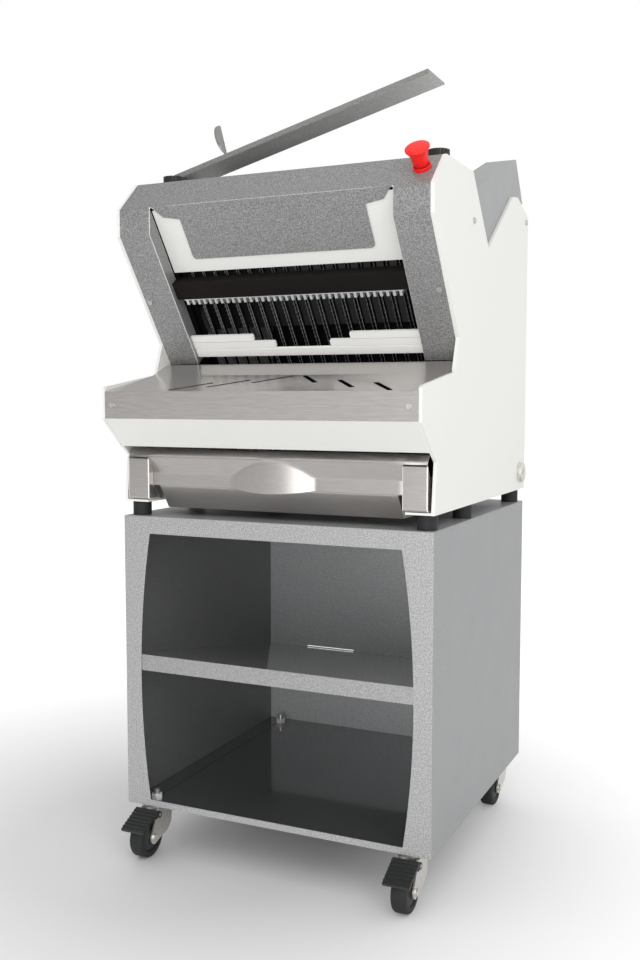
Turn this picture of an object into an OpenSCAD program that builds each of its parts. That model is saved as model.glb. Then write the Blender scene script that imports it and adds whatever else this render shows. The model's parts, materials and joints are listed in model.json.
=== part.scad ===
// Table-top bread slicer on its open castor stand.
// Millimetres, +Z up, front towards -Y, origin on the floor under the middle of the stand.

/* [Stand] */
// Distance by which the stand's sides stand out past the machine's sides
stand_over = 0; // [0:1:10]
// Depth of the stand from front frame to back panel
stand_d = 580; // [560:5:600]
// Height of the stand's top above the floor
stand_h = 638; // [620:2:660]
// Sheet thickness of the stand
stand_sheet = 2; // [1.5:0.5:3]
// Height of the rail over the front opening
rail_h = 32; // [26:1:40]
// Height of the sill under the front opening
sill_h = 12; // [10:1:20]
// Width of a front post at the top of the opening
post_top_w = 55; // [50:1:60]
// Width of a front post at its waist
post_waist_w = 33; // [28:1:40]
// Height of the shelf's front edge above the floor
shelf_h = 380; // [340:5:420]
// Drop of the sloping shelf from its front edge to the back panel
shelf_drop = 104; // [60:2:120]
// Height of the lip folded down along the shelf's front
shelf_lip = 30; // [20:1:40]

/* [Castors] */
// Height from the floor to the stand's underside
castor_h = 94; // [92:1:98]
// Diameter of a castor wheel
wheel_d = 75; // [72:1:76]
// Width of a castor wheel
wheel_w = 28; // [24:1:30]
// Distance of a swivel axis from the stand's side face
castor_inset_x = 43; // [38:1:50]
// Distance of a swivel axis from the stand's front or back face
castor_inset_y = 32; // [30:1:40]
// Distance of a wheel's axle ahead of its swivel axis
castor_trail = 37; // [34:1:40]
// Diameter of the stud that holds a castor
stud_d = 12; // [10:1:12]
// Length of a brake pedal ahead of its pivot
pedal_l = 58; // [50:1:62]
// Width of a brake pedal
pedal_w = 48; // [47:1:52]
// Angle at which a pressed pedal dips to the front
pedal_dip = 25.7; // [22:0.1:27]

/* [Machine body] */
// Width of the machine across its side panels
body_w = 600; // [590:2:620]
// Thickness of a side panel
panel_t = 6; // [4:0.5:8]
// Distance from the stand's middle to the machine's rear edge
body_rear = 300; // [296:1:310]
// Distance from the stand's middle to the tray's front
body_front = 351; // [346:1:356]
// Height of a rubber foot
foot_h = 26; // [22:1:30]
// Diameter of a rubber foot
foot_d = 34; // [30:1:38]
// Width of the flange folded in along a panel's bottom edge
flange_w = 45; // [42:1:48]
// Thickness of the covers' sheet metal
sheet = 2; // [1.5:0.25:2.5]

/* [Front cover] */
// Lean of the front posts and blades from the vertical, top forward
lean = 35.8; // [35:0.1:36.5]
// Sloping length of a front post
post_l = 275.7; // [272:0.1:280]
// Width of a front post
post_w = 64; // [60:1:66]
// Distance of a post's lower edge ahead of the stand's middle
post_foot = 138.5; // [136:0.5:141]
// Height of a post's lower edge above the machine's bottom
post_foot_h = 254.5; // [252:0.5:257]
// Height of the vertical band over each post
band_h = 47; // [44:1:50]
// Depth of the cover's top slope
crown_run = 58; // [55:1:61]
// Rise of the cover's top slope
crown_rise = 55; // [52:1:58]
// Depth of the level deck behind the top slope
deck_l = 150; // [146:1:154]

/* [Outfeed] */
// Height of the tray's front edge above the machine's bottom
tray_front_h = 201; // [198:1:204]
// Rise per length of the tray's front part
tray_slope_share = 0.2; // [0.18:0.01:0.22]
// Rise per length of the tray's rear part
tray_rear_share = 0.44; // [0.4:0.01:0.48]
// Depth of the tray's front part
tray_l = 152; // [148:1:154]
// Depth of the tray's rear part
tray_rear_l = 48; // [44:1:49]
// Height of the apron under the tray's front edge
apron_h = 48; // [44:1:52]
// Width of a crumb slot in the tray
slot_w = 9; // [6:0.5:10]
// Thickness of the tray's sheet
tray_sheet = 1; // [0.8:0.1:1.5]

/* [Blades] */
// Spacing of the blades, which is the slice thickness
pitch = 12; // [11:0.5:12]
// Least distance of the outer blades from the chute's sides
blade_side = 16.5; // [14:0.5:28]
// Width of a blade in the cutting direction
blade_w = 12; // [10:0.5:12]
// Thickness of a blade
blade_t = 0.6; // [0.5:0.1:0.8]
// Half of a blade frame's stroke
throw_r = 12; // [10:0.5:12]

/* [Loading] */
// Distance of the chute's sides from the side panels
chute_in = 61; // [59:1:64]
// Height of the chute's mouth at its rear end
mouth_h = 95; // [90:1:100]
// Length of the chute behind the blades' front plane
chute_l = 529; // [524:1:534]

/* [Arm] */
// Width of the loaf arm
arm_w = 90; // [84:1:90]
// Length of the loaf arm from its pivot
arm_l = 526; // [510:2:530]
// Angle at which the arm stands open
arm_open = 14.7; // [10:0.1:20]

/* [Hidden] */
$fn = 48;

// Room between parts that pass each other, and round a pin in its bore
gap = 1;
fit = 0.3;
// Cuts run past a face by this much
past = 1;

// Colours
hammered_grey = "#a9aaab";
side_grey = "#8f9192";
inside_grey = "#77797a";
off_white = "#ededea";
stainless = "#aba7a3";
zinc = "#c9cacb";
black_rubber = "#202122";
dark_bar = "#3a3330";
signal_red = "#d81e1e";
blade_steel = "#8d8f92";
machine_steel = "#9a9c9e";

// Stand: levels and the barrel-shaped front opening
stand_w = body_w + 2 * stand_over;
stand_x = stand_w / 2;
back_slot_w = 117;
back_slot_h = 1.5;
back_slot_in = 98;
stand_y = stand_d / 2;
opening_low = castor_h + sill_h;
opening_top = stand_h - rail_h;
waist_share = 0.47;
waist_z = opening_low + waist_share * (opening_top - opening_low);
waist_x = stand_x - post_waist_w;
bulge = post_top_w - post_waist_w;
barrel_r = (pow(opening_top - waist_z, 2) + pow(bulge, 2)) / (2 * bulge);

// Castor: heights measured down from the stand's underside
head_r = 24;
head_h = 7;
crown_t = 4;
crown_top = castor_h - head_h - gap / 2;
crown_low = crown_top - crown_t;
stem_r = 7;
stem_cap_r = 9;
stem_cap_h = 3;
wheel_r = wheel_d / 2;
axle_r = 4;
axle_head_r = 7;
axle_head_h = 4;
cheek_t = 3;
cheek_in = wheel_w / 2 + 2 * gap;
cheek_out = cheek_in + cheek_t;
cheek_foot_r = 12;
crown_half = 22;
crown_front = 26;
cheek_heel = [crown_half - cheek_t, wheel_r + cheek_foot_r];
pivot_y = 26;
pivot_drop = 4.5;
pivot_z = crown_low - pivot_drop;
pivot_r = 3;
pedal_t = 5;
pedal_clear = 7.3;
pedal_ear_r = 6;
pedal_back = 2;
pedal_ribs = 6;
pedal_rib = 1.5;
stud_up = 21;
nut_h = 10;
nut_r = 11;
castor_x = stand_x - castor_inset_x;
castor_y = stand_y - castor_inset_y;
CASTORS = [[-1, -1], [1, -1], [-1, 1], [1, 1]];

// Machine: heights are above the lower edge of its side panels
base_z = stand_h + foot_h;
panel_out = body_w / 2;
panel_in = panel_out - panel_t;
cover_x = panel_in;
post_in = cover_x - post_w;

// The leaning frame of the blades: from the posts' lower front edge, w runs back and up across the
// blades and v runs up along them
foot_pt = [-post_foot, base_z + post_foot_h];
along_v = [-sin(lean), cos(lean)];
along_w = [cos(lean), sin(lean)];
function leaning(w, v) = foot_pt + w * along_w + v * along_v;

// Front cover corners in the side view, from the posts' foot up over the crown to the deck
post_top_pt = leaning(0, post_l);
fold_pt = post_top_pt + [0, band_h];
crown_pt = fold_pt + [crown_run, crown_rise];
deck_z = crown_pt.y;
deck_end = crown_pt.x + deck_l;

// Recess of the panel between the posts, and the tongue that hangs from the fold
recess = (fold_pt - foot_pt) * along_w;
tongue_top_in = 4;
tongue_shoulder_in = 20;
tongue_in = 52;
tongue_top_x = post_in - tongue_top_in;
tongue_shoulder_x = post_in - tongue_shoulder_in;
tongue_x = post_in - tongue_in;
tongue_low_v = 207;
tongue_shoulder_v = 286;
tongue_neck_v = 292;
tongue_top_v = (fold_pt - foot_pt) * along_v;
tongue_round = 10;
inner_low_v = 182;
inner_top_v = 306;

// Side panel outline: knee behind the tray, tray rim, drawer recess and the notch for the hood
knee_v = 46;
knee_back = 22;
knee_drop = 59;
rim_drop = 23.5;
rim_nose = 6;
nose_drop = 5;
skirt_in = 53;
skirt_y = body_front - skirt_in;
skirt_h = 102;
lip_in = 74;
lip_y = body_front - lip_in;
lip_h = 86;
toe_in = 64;
toe_y = body_front - toe_in;
notch_run = 100.5;
notch_depth = 118;
notch_l = 207;
peak_in = 85;
peak_y = body_rear - peak_in;
peak_over = 8;
shoulder_under = 18;

knee_pt = leaning(0, knee_v);
rim_back = knee_pt - [knee_back, knee_drop];
rim_front = [-body_front + rim_nose, rim_back.y - rim_drop];
notch_pt = [deck_end + notch_run, deck_z - notch_depth];
notch_rear = notch_pt + notch_l * along_w;

// Reception tray in the side view
tray_front = [-body_front - gap, base_z + tray_front_h];
tray_bend = tray_front + tray_l * [1, tray_slope_share];
tray_rear = tray_bend + tray_rear_l * [1, tray_rear_share];
apron_low = tray_front - [0, apron_h];
tray_x = panel_in;
// Crumb slots: middle of each slot across and along the tray, as shares of the tray's half width and depth
slot_shares = [
  [-0.48, 0.28, 1],
  [-0.27, 0.45, 1],
  [-0.04, 0.7, 1],
  [0.2, 0.7, -1],
  [0.49, 0.42, -1],
  [0.75, 0.25, -1]
];
slot_l = 84;
slot_turn = 38;

// Outfeed strips between the posts, in the leaning frame
strip_w0 = 8;
strip_depth = 5;
sill_v0 = 10;
sill_v1 = 28;
step_h = 14.5;
step_v = [for (i = [0:2]) sill_v1 + gap + i * step_h];
step_in = [55, 97];
step_round = 3;
strip_x = post_in - gap;

// Guide comb and its bar
comb_v0 = 125;
comb_v1 = 136;
comb_v2 = 170;
comb_w0 = 10;
comb_w1 = 34;
comb_spine = 1.5;
tooth_share = 0.42;

// Crumb drawer: the box hangs below the panels' lower edge, its front closes the recess
drawer_side = 17;
drawer_x = panel_in - flange_w - drawer_side;
drawer_hang = 12;
drawer_low = base_z - drawer_hang;
drawer_wall = 48;
drawer_under = 27;
drawer_neck = 8;
drawer_depth = 332;
drawer_flange = 8;
face_in = 13;
face_y = face_in - toe_y;
drawer_front_y = face_y + sheet;
drawer_rear = drawer_front_y + drawer_depth;
drawer_rim = drawer_low + drawer_wall;
front_side_gap = 5;
front_x = panel_in - front_side_gap;
front_h = 98;
front_top = base_z + front_h;
face_h = 30;
face_low = base_z + face_h;
brow_out = 15;
brow_drop = 16;
waist_drop = 44;
cheek_w = 44;
cheek_out_y = 16;
cheek_up = 5;
cheek_low = base_z + cheek_up;
cheek_depth = 38;
cheek_round = 5;
pull_w = 160;
pull_proud = 1;
pull_out = brow_out + pull_proud;
pull_dip = 6;
pull_t = 3;
pull_r = (pow(pull_w / 2, 2) + pow(pull_out, 2)) / (2 * pull_out);
dip_r = (pow(pull_w / 2, 2) + pow(pull_dip, 2)) / (2 * pull_dip);
runner_t = 3;
runner_z = drawer_rim - sheet - gap / 2;

// Loading chute and hood in the leaning frame
floor_v = 28;
hood_v0 = 204;
chute_x = panel_in - chute_in;
hood_x = panel_in;
mouth_v = floor_v + mouth_h;
deck_lip = [deck_end, deck_z - sheet];
hood_w0 = (deck_lip - foot_pt) * along_w;
hood_deck_v = (deck_lip - foot_pt) * along_v;
hood_lap = 10;

// Blade frames
front_w = 41;
rear_w = front_w + 2 * throw_r;
frame_bar = 12;
frame_low_v = -75;
frame_low_top_v = -55;
frame_top_v = 268;
frame_cap_v = 288;
shoe_low_v = -40;
shoe_top_v = 250;
rail_side = 5;
rail_w = 38;
rail_groove = 8;
rail_in = panel_in - rail_w;
frame_side = 6;
frame_half = rail_in - frame_side;
shoe_out = rail_in + rail_groove - 2 * gap;
chute_w0 = rear_w + blade_w + rail_side + 2 * gap;
rail_low_v = -95;
rail_under = 13.5;
rail_top_v = tongue_top_v - rail_under;
blade_inset = floor((chute_x - blade_side) / pitch);
blade_count = 2 * blade_inset + 1;

// Crank drive
crank_v = -185;
crank_w = front_w + blade_w / 2 + throw_r;
crank_pt = leaning(crank_w, crank_v);
shaft_r = 12;
web_r = 28;
pin_r = 8;
web_in = 18;
web_out = 42;
web_t = 10;
shaft_end_gap = 2;
shaft_end = panel_in - shaft_end_gap;
bearing_r = 30;
bearing_w = 14;
rod_l = 60;
rod_t = 20;
rod_head_r = 17;
rod_eye_r = 10;
rod_eye_bore = 5;
rod_bar = 14;
clevis_t = 6;
clevis_gap = 2;
clevis_r = 12;
pulley_w = 20;
pulley_side = 5;
pulley_x0 = panel_in - bearing_w - pulley_side - pulley_w;
pulley_r = 65;
motor_pulley_r = 26;
pulley_lip = 4;
pulley_land = 3;
belt_t = 4;

// Motor on the base plate
motor_in = 110;
motor_y = body_rear - motor_in;
motor_r = 65;
motor_up = 84;
motor_side = 104;
motor_l = 250;
motor_x0 = motor_side - panel_in;
motor_x1 = motor_x0 + motor_l;
motor_foot_w = 120;
motor_foot_h = 24;
motor_shaft_r = 10;
base_behind = 15;
base_front = drawer_rear + base_behind;
base_t = 4;
motor_pt = [motor_y, base_z + base_t + motor_up];

// Loaf arm
arm_over = 34;
arm_rear_y = deck_end + arm_over;
arm_pivot_in = 22;
arm_pivot_x = arm_pivot_in - panel_in;
arm_pivot_up = 24;
arm_pivot_z = deck_z + arm_pivot_up;
arm_pin_r = 4;
arm_eye_r = 10;
arm_lip = 9;
arm_sheet = 3;
arm_front_y = arm_rear_y - arm_w;
flag_r = 28;
flag_t = 4;
flag_x = 76;
flag_up = 71;
flag_in = 4;
flag_y = arm_rear_y - flag_in;
flag_stem_r = 3;
bracket_t = 6;
bracket_r = arm_eye_r - arm_sheet - gap / 2;

// Knobs and emergency stop
knob_in = 32;
knob_x = panel_in - knob_in;
knob_behind = 72;
knob_y = crown_pt.x + knob_behind;
knob_r = 19;
knob_h = 16;
knob_neck_r = 8;
knob_neck_h = 8;
knob_ribs = 20;
knob_rib_r = 1.4;
estop_in = 26;
estop_x = panel_in - estop_in;
estop_along_share = 0.55;
estop_travel = 5;
collar_r = 15;
collar_h = 6;
stem_h = 22;
button_stem_r = 12.5;
button_r = 20.5;
button_h = 16;
button_flare_h = 12;
slope_lean = atan2(crown_rise, crown_run);

// Fasteners and the cable gland
screw_r = 5;
screw_h = 3;
bolt_in = 17;
bolt_down = 31;
bolt_behind = 5;
gland_in = 42;
gland_y = body_rear - gland_in;
gland_up = 36;
gland_r = 20;
gland_h = 9;
gland_neck_r = 8;
gland_bore_r = 5;
gland_seat_r = 6.5;

// Shared helpers
function unit(v) = v / norm(v);
function side_of(a, b) = let (d = unit(b - a)) [-d.y, d.x];
function mitre(p, i, t) =
  let (
    last = len(p) - 1,
    a = side_of(p[max(i - 1, 0)], p[max(i, 1)]),
    b = side_of(p[min(i, last - 1)], p[min(i + 1, last)])
  )
  t * (a + b) / (1 + a * b);
// Outline of a sheet of thickness t bent along the points p, with its thickness on the left of the path
function bent(p, t) = concat(p, [for (i = [len(p) - 1:-1:0]) p[i] + mitre(p, i, t)]);

// Extrudes a side view, given as [y, z], between two x positions
module across(x0, x1) {
  translate([x0, 0, 0]) rotate([90, 0, 90]) linear_extrude(x1 - x0) children();
}

// Box between two corners
module box(low, high) {
  translate(low) cube(high - low);
}

// Places children in the leaning frame, as x, w, v
module in_lean() {
  translate([0, foot_pt.x, foot_pt.y]) rotate([lean, 0, 0]) children();
}

// Both sides of the machine
module both_sides() {
  children();
  mirror([1, 0, 0]) children();
}

// Cylinder along +X from x0 to x1 about [y, z]
module rod_x(x0, x1, pt, r) {
  translate([x0, pt.x, pt.y]) rotate([0, 90, 0]) cylinder(h = x1 - x0, r = r);
}

// Cylinder along +X in the leaning frame
module lean_rod_x(x0, x1, w, v, r) {
  rod_x(x0, x1, leaning(w, v), r);
}

// Stand

module stand_top() {
  color(side_grey)
    box([-stand_x, -stand_y + stand_sheet, stand_h - stand_sheet], [stand_x, stand_y, stand_h]);
}

module stand_side() {
  color(side_grey)
    box([stand_x - stand_sheet, -stand_y + stand_sheet, castor_h], [stand_x, stand_y, stand_h - stand_sheet]);
}

module stand_left_side() {
  mirror([1, 0, 0]) stand_side();
}

module stand_right_side() {
  stand_side();
}

module stand_back() {
  slot_x = back_slot_in - stand_x;
  slot_z = shelf_h - shelf_drop + gap;
  color(inside_grey)
    difference() {
      box(
        [-stand_x + stand_sheet, stand_y - stand_sheet, castor_h + stand_sheet],
        [stand_x - stand_sheet, stand_y, stand_h - stand_sheet]
      );
      box(
        [slot_x, stand_y - stand_sheet - past, slot_z],
        [slot_x + back_slot_w, stand_y + past, slot_z + back_slot_h]
      );
    }
}

module stand_front_frame() {
  color(hammered_grey)
    translate([0, -stand_y + stand_sheet, 0]) rotate([90, 0, 0]) linear_extrude(stand_sheet)
      difference() {
        translate([-stand_x, castor_h]) square([stand_w, stand_h - castor_h]);
        intersection() {
          translate([-waist_x, opening_low]) square([2 * waist_x, opening_top - opening_low]);
          translate([waist_x - barrel_r, waist_z]) circle(barrel_r, $fn = 180);
          translate([barrel_r - waist_x, waist_z]) circle(barrel_r, $fn = 180);
        }
      }
}

module stand_shelf() {
  front = -stand_y + stand_sheet;
  rear = stand_y - stand_sheet - gap;
  side = stand_x - stand_sheet;
  path = [[front, shelf_h - shelf_lip], [front, shelf_h], [rear, shelf_h - shelf_drop]];
  color(hammered_grey)
    across(-side, side) polygon(bent(path, -stand_sheet));
}

module stand_bottom() {
  side = stand_x - stand_sheet;
  color(inside_grey)
    difference() {
      box([-side, -stand_y + stand_sheet, castor_h], [side, stand_y, castor_h + stand_sheet]);
      for (c = CASTORS)
        translate([c.x * castor_x, c.y * castor_y, castor_h - past])
          cylinder(h = stand_sheet + 2 * past, r = stud_d / 2);
    }
}

// Castors

module at_castor(c) {
  translate([c.x * castor_x, c.y * castor_y, 0]) children();
}

module castor_head() {
  translate([0, 0, castor_h - head_h]) cylinder(h = head_h, r = head_r);
  translate([0, 0, castor_h]) cylinder(h = stud_up, r = stud_d / 2);
  translate([0, 0, crown_low - gap / 2]) cylinder(h = head_h + crown_t + gap, r = stem_r);
  translate([0, 0, crown_low - gap / 2 - stem_cap_h]) cylinder(h = stem_cap_h, r = stem_cap_r);
}

module castor_heads() {
  color(zinc)
    for (c = CASTORS)
      at_castor(c) castor_head();
}

module castor_nuts() {
  color(zinc)
    for (c = CASTORS)
      at_castor(c)
        translate([0, 0, castor_h + stand_sheet])
          difference() {
            cylinder(h = nut_h, r = nut_r, $fn = 6);
            translate([0, 0, -past]) cylinder(h = nut_h + 2 * past, r = stud_d / 2);
          }
}

module fork_cheek() {
  across(cheek_in, cheek_out)
    union() {
      polygon([
        [-crown_front, crown_top],
        [-castor_trail - cheek_foot_r, wheel_r],
        [-castor_trail, wheel_r - cheek_foot_r],
        [cheek_heel.x - cheek_foot_r, cheek_heel.y - cheek_foot_r],
        cheek_heel,
        [crown_half, crown_low],
        [crown_half, crown_top]
      ]);
      translate([-castor_trail, wheel_r]) circle(cheek_foot_r);
    }
}

module castor_fork(c, braked) {
  color(zinc)
    at_castor(c) {
      both_sides() fork_cheek();
      difference() {
        box([-cheek_out, -crown_half, crown_low], [cheek_out, crown_half, crown_top]);
        translate([0, 0, crown_low - past]) cylinder(h = crown_t + 2 * past, r = stem_r + fit);
      }
      axle_pt = [-castor_trail, wheel_r];
      rod_x(-cheek_out, cheek_out, axle_pt, axle_r);
      both_sides() rod_x(cheek_out, cheek_out + axle_head_h, axle_pt, axle_head_r);
      if (braked)
        both_sides() rod_x(cheek_out, pedal_w / 2, [-pivot_y, pivot_z], pivot_r);
    }
}

module castor_fork_front_left() { castor_fork(CASTORS[0], true); }
module castor_fork_front_right() { castor_fork(CASTORS[1], true); }
module castor_fork_rear_left() { castor_fork(CASTORS[2], false); }
module castor_fork_rear_right() { castor_fork(CASTORS[3], false); }

// Wheel profile as [radius, half width], with a crowned tread and a dished hub
hub_r_share = 0.34;
dish_r_share = 0.7;
dish_depth_share = 0.3;
tread_share = 0.72;
shoulder_share = 0.93;

module castor_wheel(c) {
  half = wheel_w / 2;
  bore = axle_r + fit;
  dish = half * (1 - dish_depth_share);
  color(black_rubber)
    at_castor(c)
      translate([0, -castor_trail, wheel_r]) rotate([0, 90, 0])
        rotate_extrude()
          polygon([
            [bore, -half],
            [hub_r_share * wheel_r, -half],
            [hub_r_share * wheel_r, -dish],
            [dish_r_share * wheel_r, -dish],
            [dish_r_share * wheel_r, -half],
            [shoulder_share * wheel_r, -half],
            [wheel_r, -tread_share * half],
            [wheel_r, tread_share * half],
            [shoulder_share * wheel_r, half],
            [dish_r_share * wheel_r, half],
            [dish_r_share * wheel_r, dish],
            [hub_r_share * wheel_r, dish],
            [hub_r_share * wheel_r, half],
            [bore, half]
          ]);
}

module castor_wheel_front_left() { castor_wheel(CASTORS[0]); }
module castor_wheel_front_right() { castor_wheel(CASTORS[1]); }
module castor_wheel_rear_left() { castor_wheel(CASTORS[2]); }
module castor_wheel_rear_right() { castor_wheel(CASTORS[3]); }

module brake_pedal(c) {
  ear_in = cheek_out + gap / 2;
  rib_step = (pedal_l - pedal_back) / (pedal_ribs + 1);
  color(black_rubber)
    at_castor(c)
      translate([0, -pivot_y, pivot_z]) rotate([pedal_dip, 0, 0]) {
        box([-pedal_w / 2, -pedal_l, pedal_clear], [pedal_w / 2, -pedal_back, pedal_clear + pedal_t]);
        for (i = [1:pedal_ribs])
          translate([0, -pedal_back - i * rib_step, pedal_clear + pedal_t])
            box([-pedal_w / 2, -pedal_rib, -pedal_rib], [pedal_w / 2, pedal_rib, pedal_rib]);
        both_sides()
          across(ear_in, pedal_w / 2)
            difference() {
              union() {
                circle(pedal_ear_r);
                translate([-2 * pedal_ear_r, 0])
                  square([2 * pedal_ear_r - pedal_back, pedal_clear + pedal_t]);
              }
              circle(pivot_r + fit);
            }
      }
}

module brake_pedal_left() { brake_pedal(CASTORS[0]); }
module brake_pedal_right() { brake_pedal(CASTORS[1]); }

// Machine shell

panel_outline = [
  crown_pt,
  fold_pt,
  post_top_pt,
  knee_pt,
  rim_back,
  rim_front,
  [-body_front, rim_front.y - nose_drop],
  [-body_front, apron_low.y - gap],
  [-skirt_y, base_z + skirt_h],
  [-lip_y, base_z + lip_h],
  [-toe_y, base_z],
  [body_rear, base_z],
  [body_rear, deck_z - shoulder_under],
  [peak_y, deck_z + peak_over],
  notch_rear,
  notch_pt,
  [deck_end, deck_z]
];

module side_panel() {
  color(off_white) {
    across(panel_in, panel_out) polygon(panel_outline);
    box([panel_in - flange_w, -toe_y + gap, base_z], [panel_in, body_rear - gap, base_z + base_t]);
  }
}

module left_panel() {
  mirror([1, 0, 0]) side_panel();
}

module right_panel() {
  difference() {
    side_panel();
    rod_x(panel_in - past, panel_out + past, [gland_y, base_z + gland_up], gland_neck_r);
  }
}

foot_side = 15;
foot_x = panel_in - foot_side;
foot_front_in = 26;
foot_mid_in = 217;
foot_rear_in = 39;
foot_ys = [foot_front_in - toe_y, foot_mid_in - toe_y, body_rear - foot_rear_in];

module rubber_feet() {
  color(black_rubber)
    both_sides()
      for (y = foot_ys)
        translate([foot_x, y, stand_h]) cylinder(h = foot_h, d = foot_d);
}

module base_plate() {
  side = panel_in - flange_w;
  color(off_white) box([-side, base_front, base_z], [side, body_rear - gap - sheet, base_z + base_t]);
}

module rear_panel() {
  color(off_white)
    box(
      [-panel_in, body_rear - gap - sheet, base_z + base_t],
      [panel_in, body_rear - gap, deck_z - shoulder_under]
    );
}

module top_deck() {
  color(hammered_grey)
    box([-panel_in, crown_pt.x + sheet, deck_z - sheet], [panel_in, deck_end, deck_z]);
}

module front_cover() {
  top_path = [crown_pt, fold_pt];
  post_path = [crown_pt, fold_pt, post_top_pt, foot_pt];
  color(hammered_grey) {
    across(-cover_x, cover_x) polygon(bent(top_path, sheet));
    both_sides() across(post_in, cover_x) polygon(bent(post_path, sheet));
    // Folded return along the inner edge of each post
    both_sides()
      lean_across(post_in, post_in + sheet)
        polygon([[0, 0], [recess, 0], [recess, tongue_top_v], [0, post_l]]);
    // Tongue with notched shoulders folded in between the posts
    across(-tongue_x, tongue_x)
      polygon(bent([crown_pt, fold_pt, leaning(recess, tongue_shoulder_v)], sheet));
    in_lean()
      translate([0, recess + sheet, 0]) rotate([90, 0, 0]) linear_extrude(sheet) tongue_outline();
  }
}

// Tongue seen square to the blades' plane, with rounded lower corners
module tongue_outline() {
  round_x = tongue_x - tongue_round;
  round_v = tongue_low_v + tongue_round;
  polygon([
    [-tongue_top_x, tongue_top_v],
    [-tongue_shoulder_x, tongue_neck_v],
    [-tongue_x, tongue_shoulder_v],
    [-tongue_x, round_v],
    [-round_x, tongue_low_v],
    [round_x, tongue_low_v],
    [tongue_x, round_v],
    [tongue_x, tongue_shoulder_v],
    [tongue_shoulder_x, tongue_neck_v],
    [tongue_top_x, tongue_top_v]
  ]);
  for (side = [-1, 1])
    translate([side * round_x, round_v]) circle(tongue_round);
}

module inner_panel() {
  back = recess + sheet;
  color(off_white)
    in_lean() box([-strip_x, back, inner_low_v], [strip_x, back + sheet, inner_top_v]);
}

module outfeed_sill() {
  color(off_white)
    in_lean() box([-post_in, strip_w0, sill_v0], [post_in, strip_w0 + strip_depth, sill_v1]);
}

module outfeed_steps() {
  color(off_white)
    both_sides()
      in_lean()
        for (i = [0:1])
          translate([0, strip_w0 + strip_depth, 0]) rotate([90, 0, 0]) linear_extrude(strip_depth)
            step_outline(step_in[i], step_v[i], step_v[i + 1] - gap);
}

// Strip from x to the post with a rounded inner end
module step_outline(x, low, high) {
  round_x = x + step_round;
  polygon([
    [round_x, low],
    [post_in, low],
    [post_in, high],
    [round_x, high],
    [x, high - step_round],
    [x, low + step_round]
  ]);
  for (v = [low + step_round, high - step_round])
    translate([round_x, v]) circle(step_round);
}

module comb_bar() {
  color(dark_bar)
    in_lean() box([-post_in, comb_w0, comb_v1], [post_in, comb_w1, comb_v2]);
}

module guide_comb() {
  tooth = tooth_share * pitch;
  reach = blade_inset * pitch;
  color(stainless)
    in_lean() {
      box([-reach, comb_w0, comb_v1 - comb_spine], [reach, comb_w1, comb_v1]);
      for (i = [0:blade_count - 2])
        translate([(i - blade_inset) * pitch + (pitch - tooth) / 2, 0, 0])
          box([0, comb_w0, comb_v0], [tooth, comb_w1, comb_v1]);
    }
}

module reception_tray() {
  color(stainless)
    difference() {
      across(-tray_x, tray_x) polygon(bent([apron_low, tray_front, tray_bend, tray_rear], -tray_sheet));
      for (s = slot_shares)
        translate([s[0] * tray_x, tray_front.x + s[1] * tray_l, tray_front.y])
          rotate([0, 0, -s[2] * slot_turn])
            box([-slot_w / 2, -slot_l / 2, -apron_h / 2], [slot_w / 2, slot_l / 2, apron_h]);
    }
}

module lower_panel() {
  low = [-skirt_y, base_z + skirt_h];
  top = apron_low + [tray_sheet, 0];
  color(off_white)
    across(-tray_x, tray_x) polygon(bent([low + [rim_nose, 0], low, top], -sheet));
}

// Crumb drawer

module drawer_runners() {
  out = panel_in - flange_w;
  front = drawer_front_y + cheek_depth;
  color(zinc)
    both_sides() {
      box([out, front, base_z + base_t], [out + runner_t, drawer_rear, runner_z]);
      box([drawer_x + gap, front, runner_z - runner_t], [out, drawer_rear, runner_z]);
    }
}

module crumb_drawer() {
  under = [drawer_front_y + drawer_under, drawer_low];
  path = [
    [drawer_front_y, drawer_rim],
    [drawer_front_y, drawer_rim - drawer_neck],
    under,
    [drawer_rear, drawer_low],
    [drawer_rear, drawer_rim]
  ];
  color(stainless) {
    across(-drawer_x, drawer_x) polygon(bent(path, sheet));
    both_sides() {
      across(drawer_x - sheet, drawer_x) polygon(path);
      box(
        [drawer_x - sheet, drawer_front_y, drawer_rim - sheet],
        [drawer_x + drawer_flange, drawer_rear, drawer_rim]
      );
    }
  }
}

// Folded front of the drawer in the side view, from its top edge down to its lower lip
front_path = [
  [drawer_front_y + drawer_neck, front_top],
  [face_y, front_top],
  [face_y - brow_out, front_top - brow_drop],
  [face_y, front_top - waist_drop],
  [face_y, face_low]
];

module drawer_front() {
  inner = front_x - cheek_w;
  color(stainless) {
    across(-front_x, front_x) polygon(bent(front_path, sheet));
    both_sides() drawer_cheek(inner, front_x);
    difference() {
      pull_shape(0);
      pull_shape(pull_t);
    }
  }
}

// Boxed end of the drawer front, open to the back
module drawer_cheek(x0, x1) {
  front = face_y - cheek_out_y;
  rear = front + cheek_depth;
  brow = front_top - brow_drop;
  outer = [
    [face_y - brow_out, brow],
    [front, brow - cheek_round],
    [front, cheek_low + cheek_round],
    [front + cheek_round, cheek_low],
    [rear, cheek_low],
    [face_y, face_low],
    [face_y, front_top - waist_drop]
  ];
  across(x0, x1) polygon(outer);
}

// Swelling of the pull, drawn in by t: an upright cylinder standing out from the face, with a dipping lip
module pull_shape(t) {
  low = face_low - pull_dip;
  high = front_top - brow_drop - t;
  intersection() {
    translate([0, face_y - pull_out + pull_r, low - pull_dip]) cylinder(h = high, r = pull_r - t, $fn = 180);
    translate([0, face_y + sheet / 2, low + dip_r]) rotate([90, 0, 0])
      cylinder(h = 2 * pull_out, r = dip_r + t, $fn = 180);
    box([-pull_w, face_y - 2 * pull_out, low - t], [pull_w, face_y + sheet / 2, high]);
  }
}

// Loading chute and hood

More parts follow.
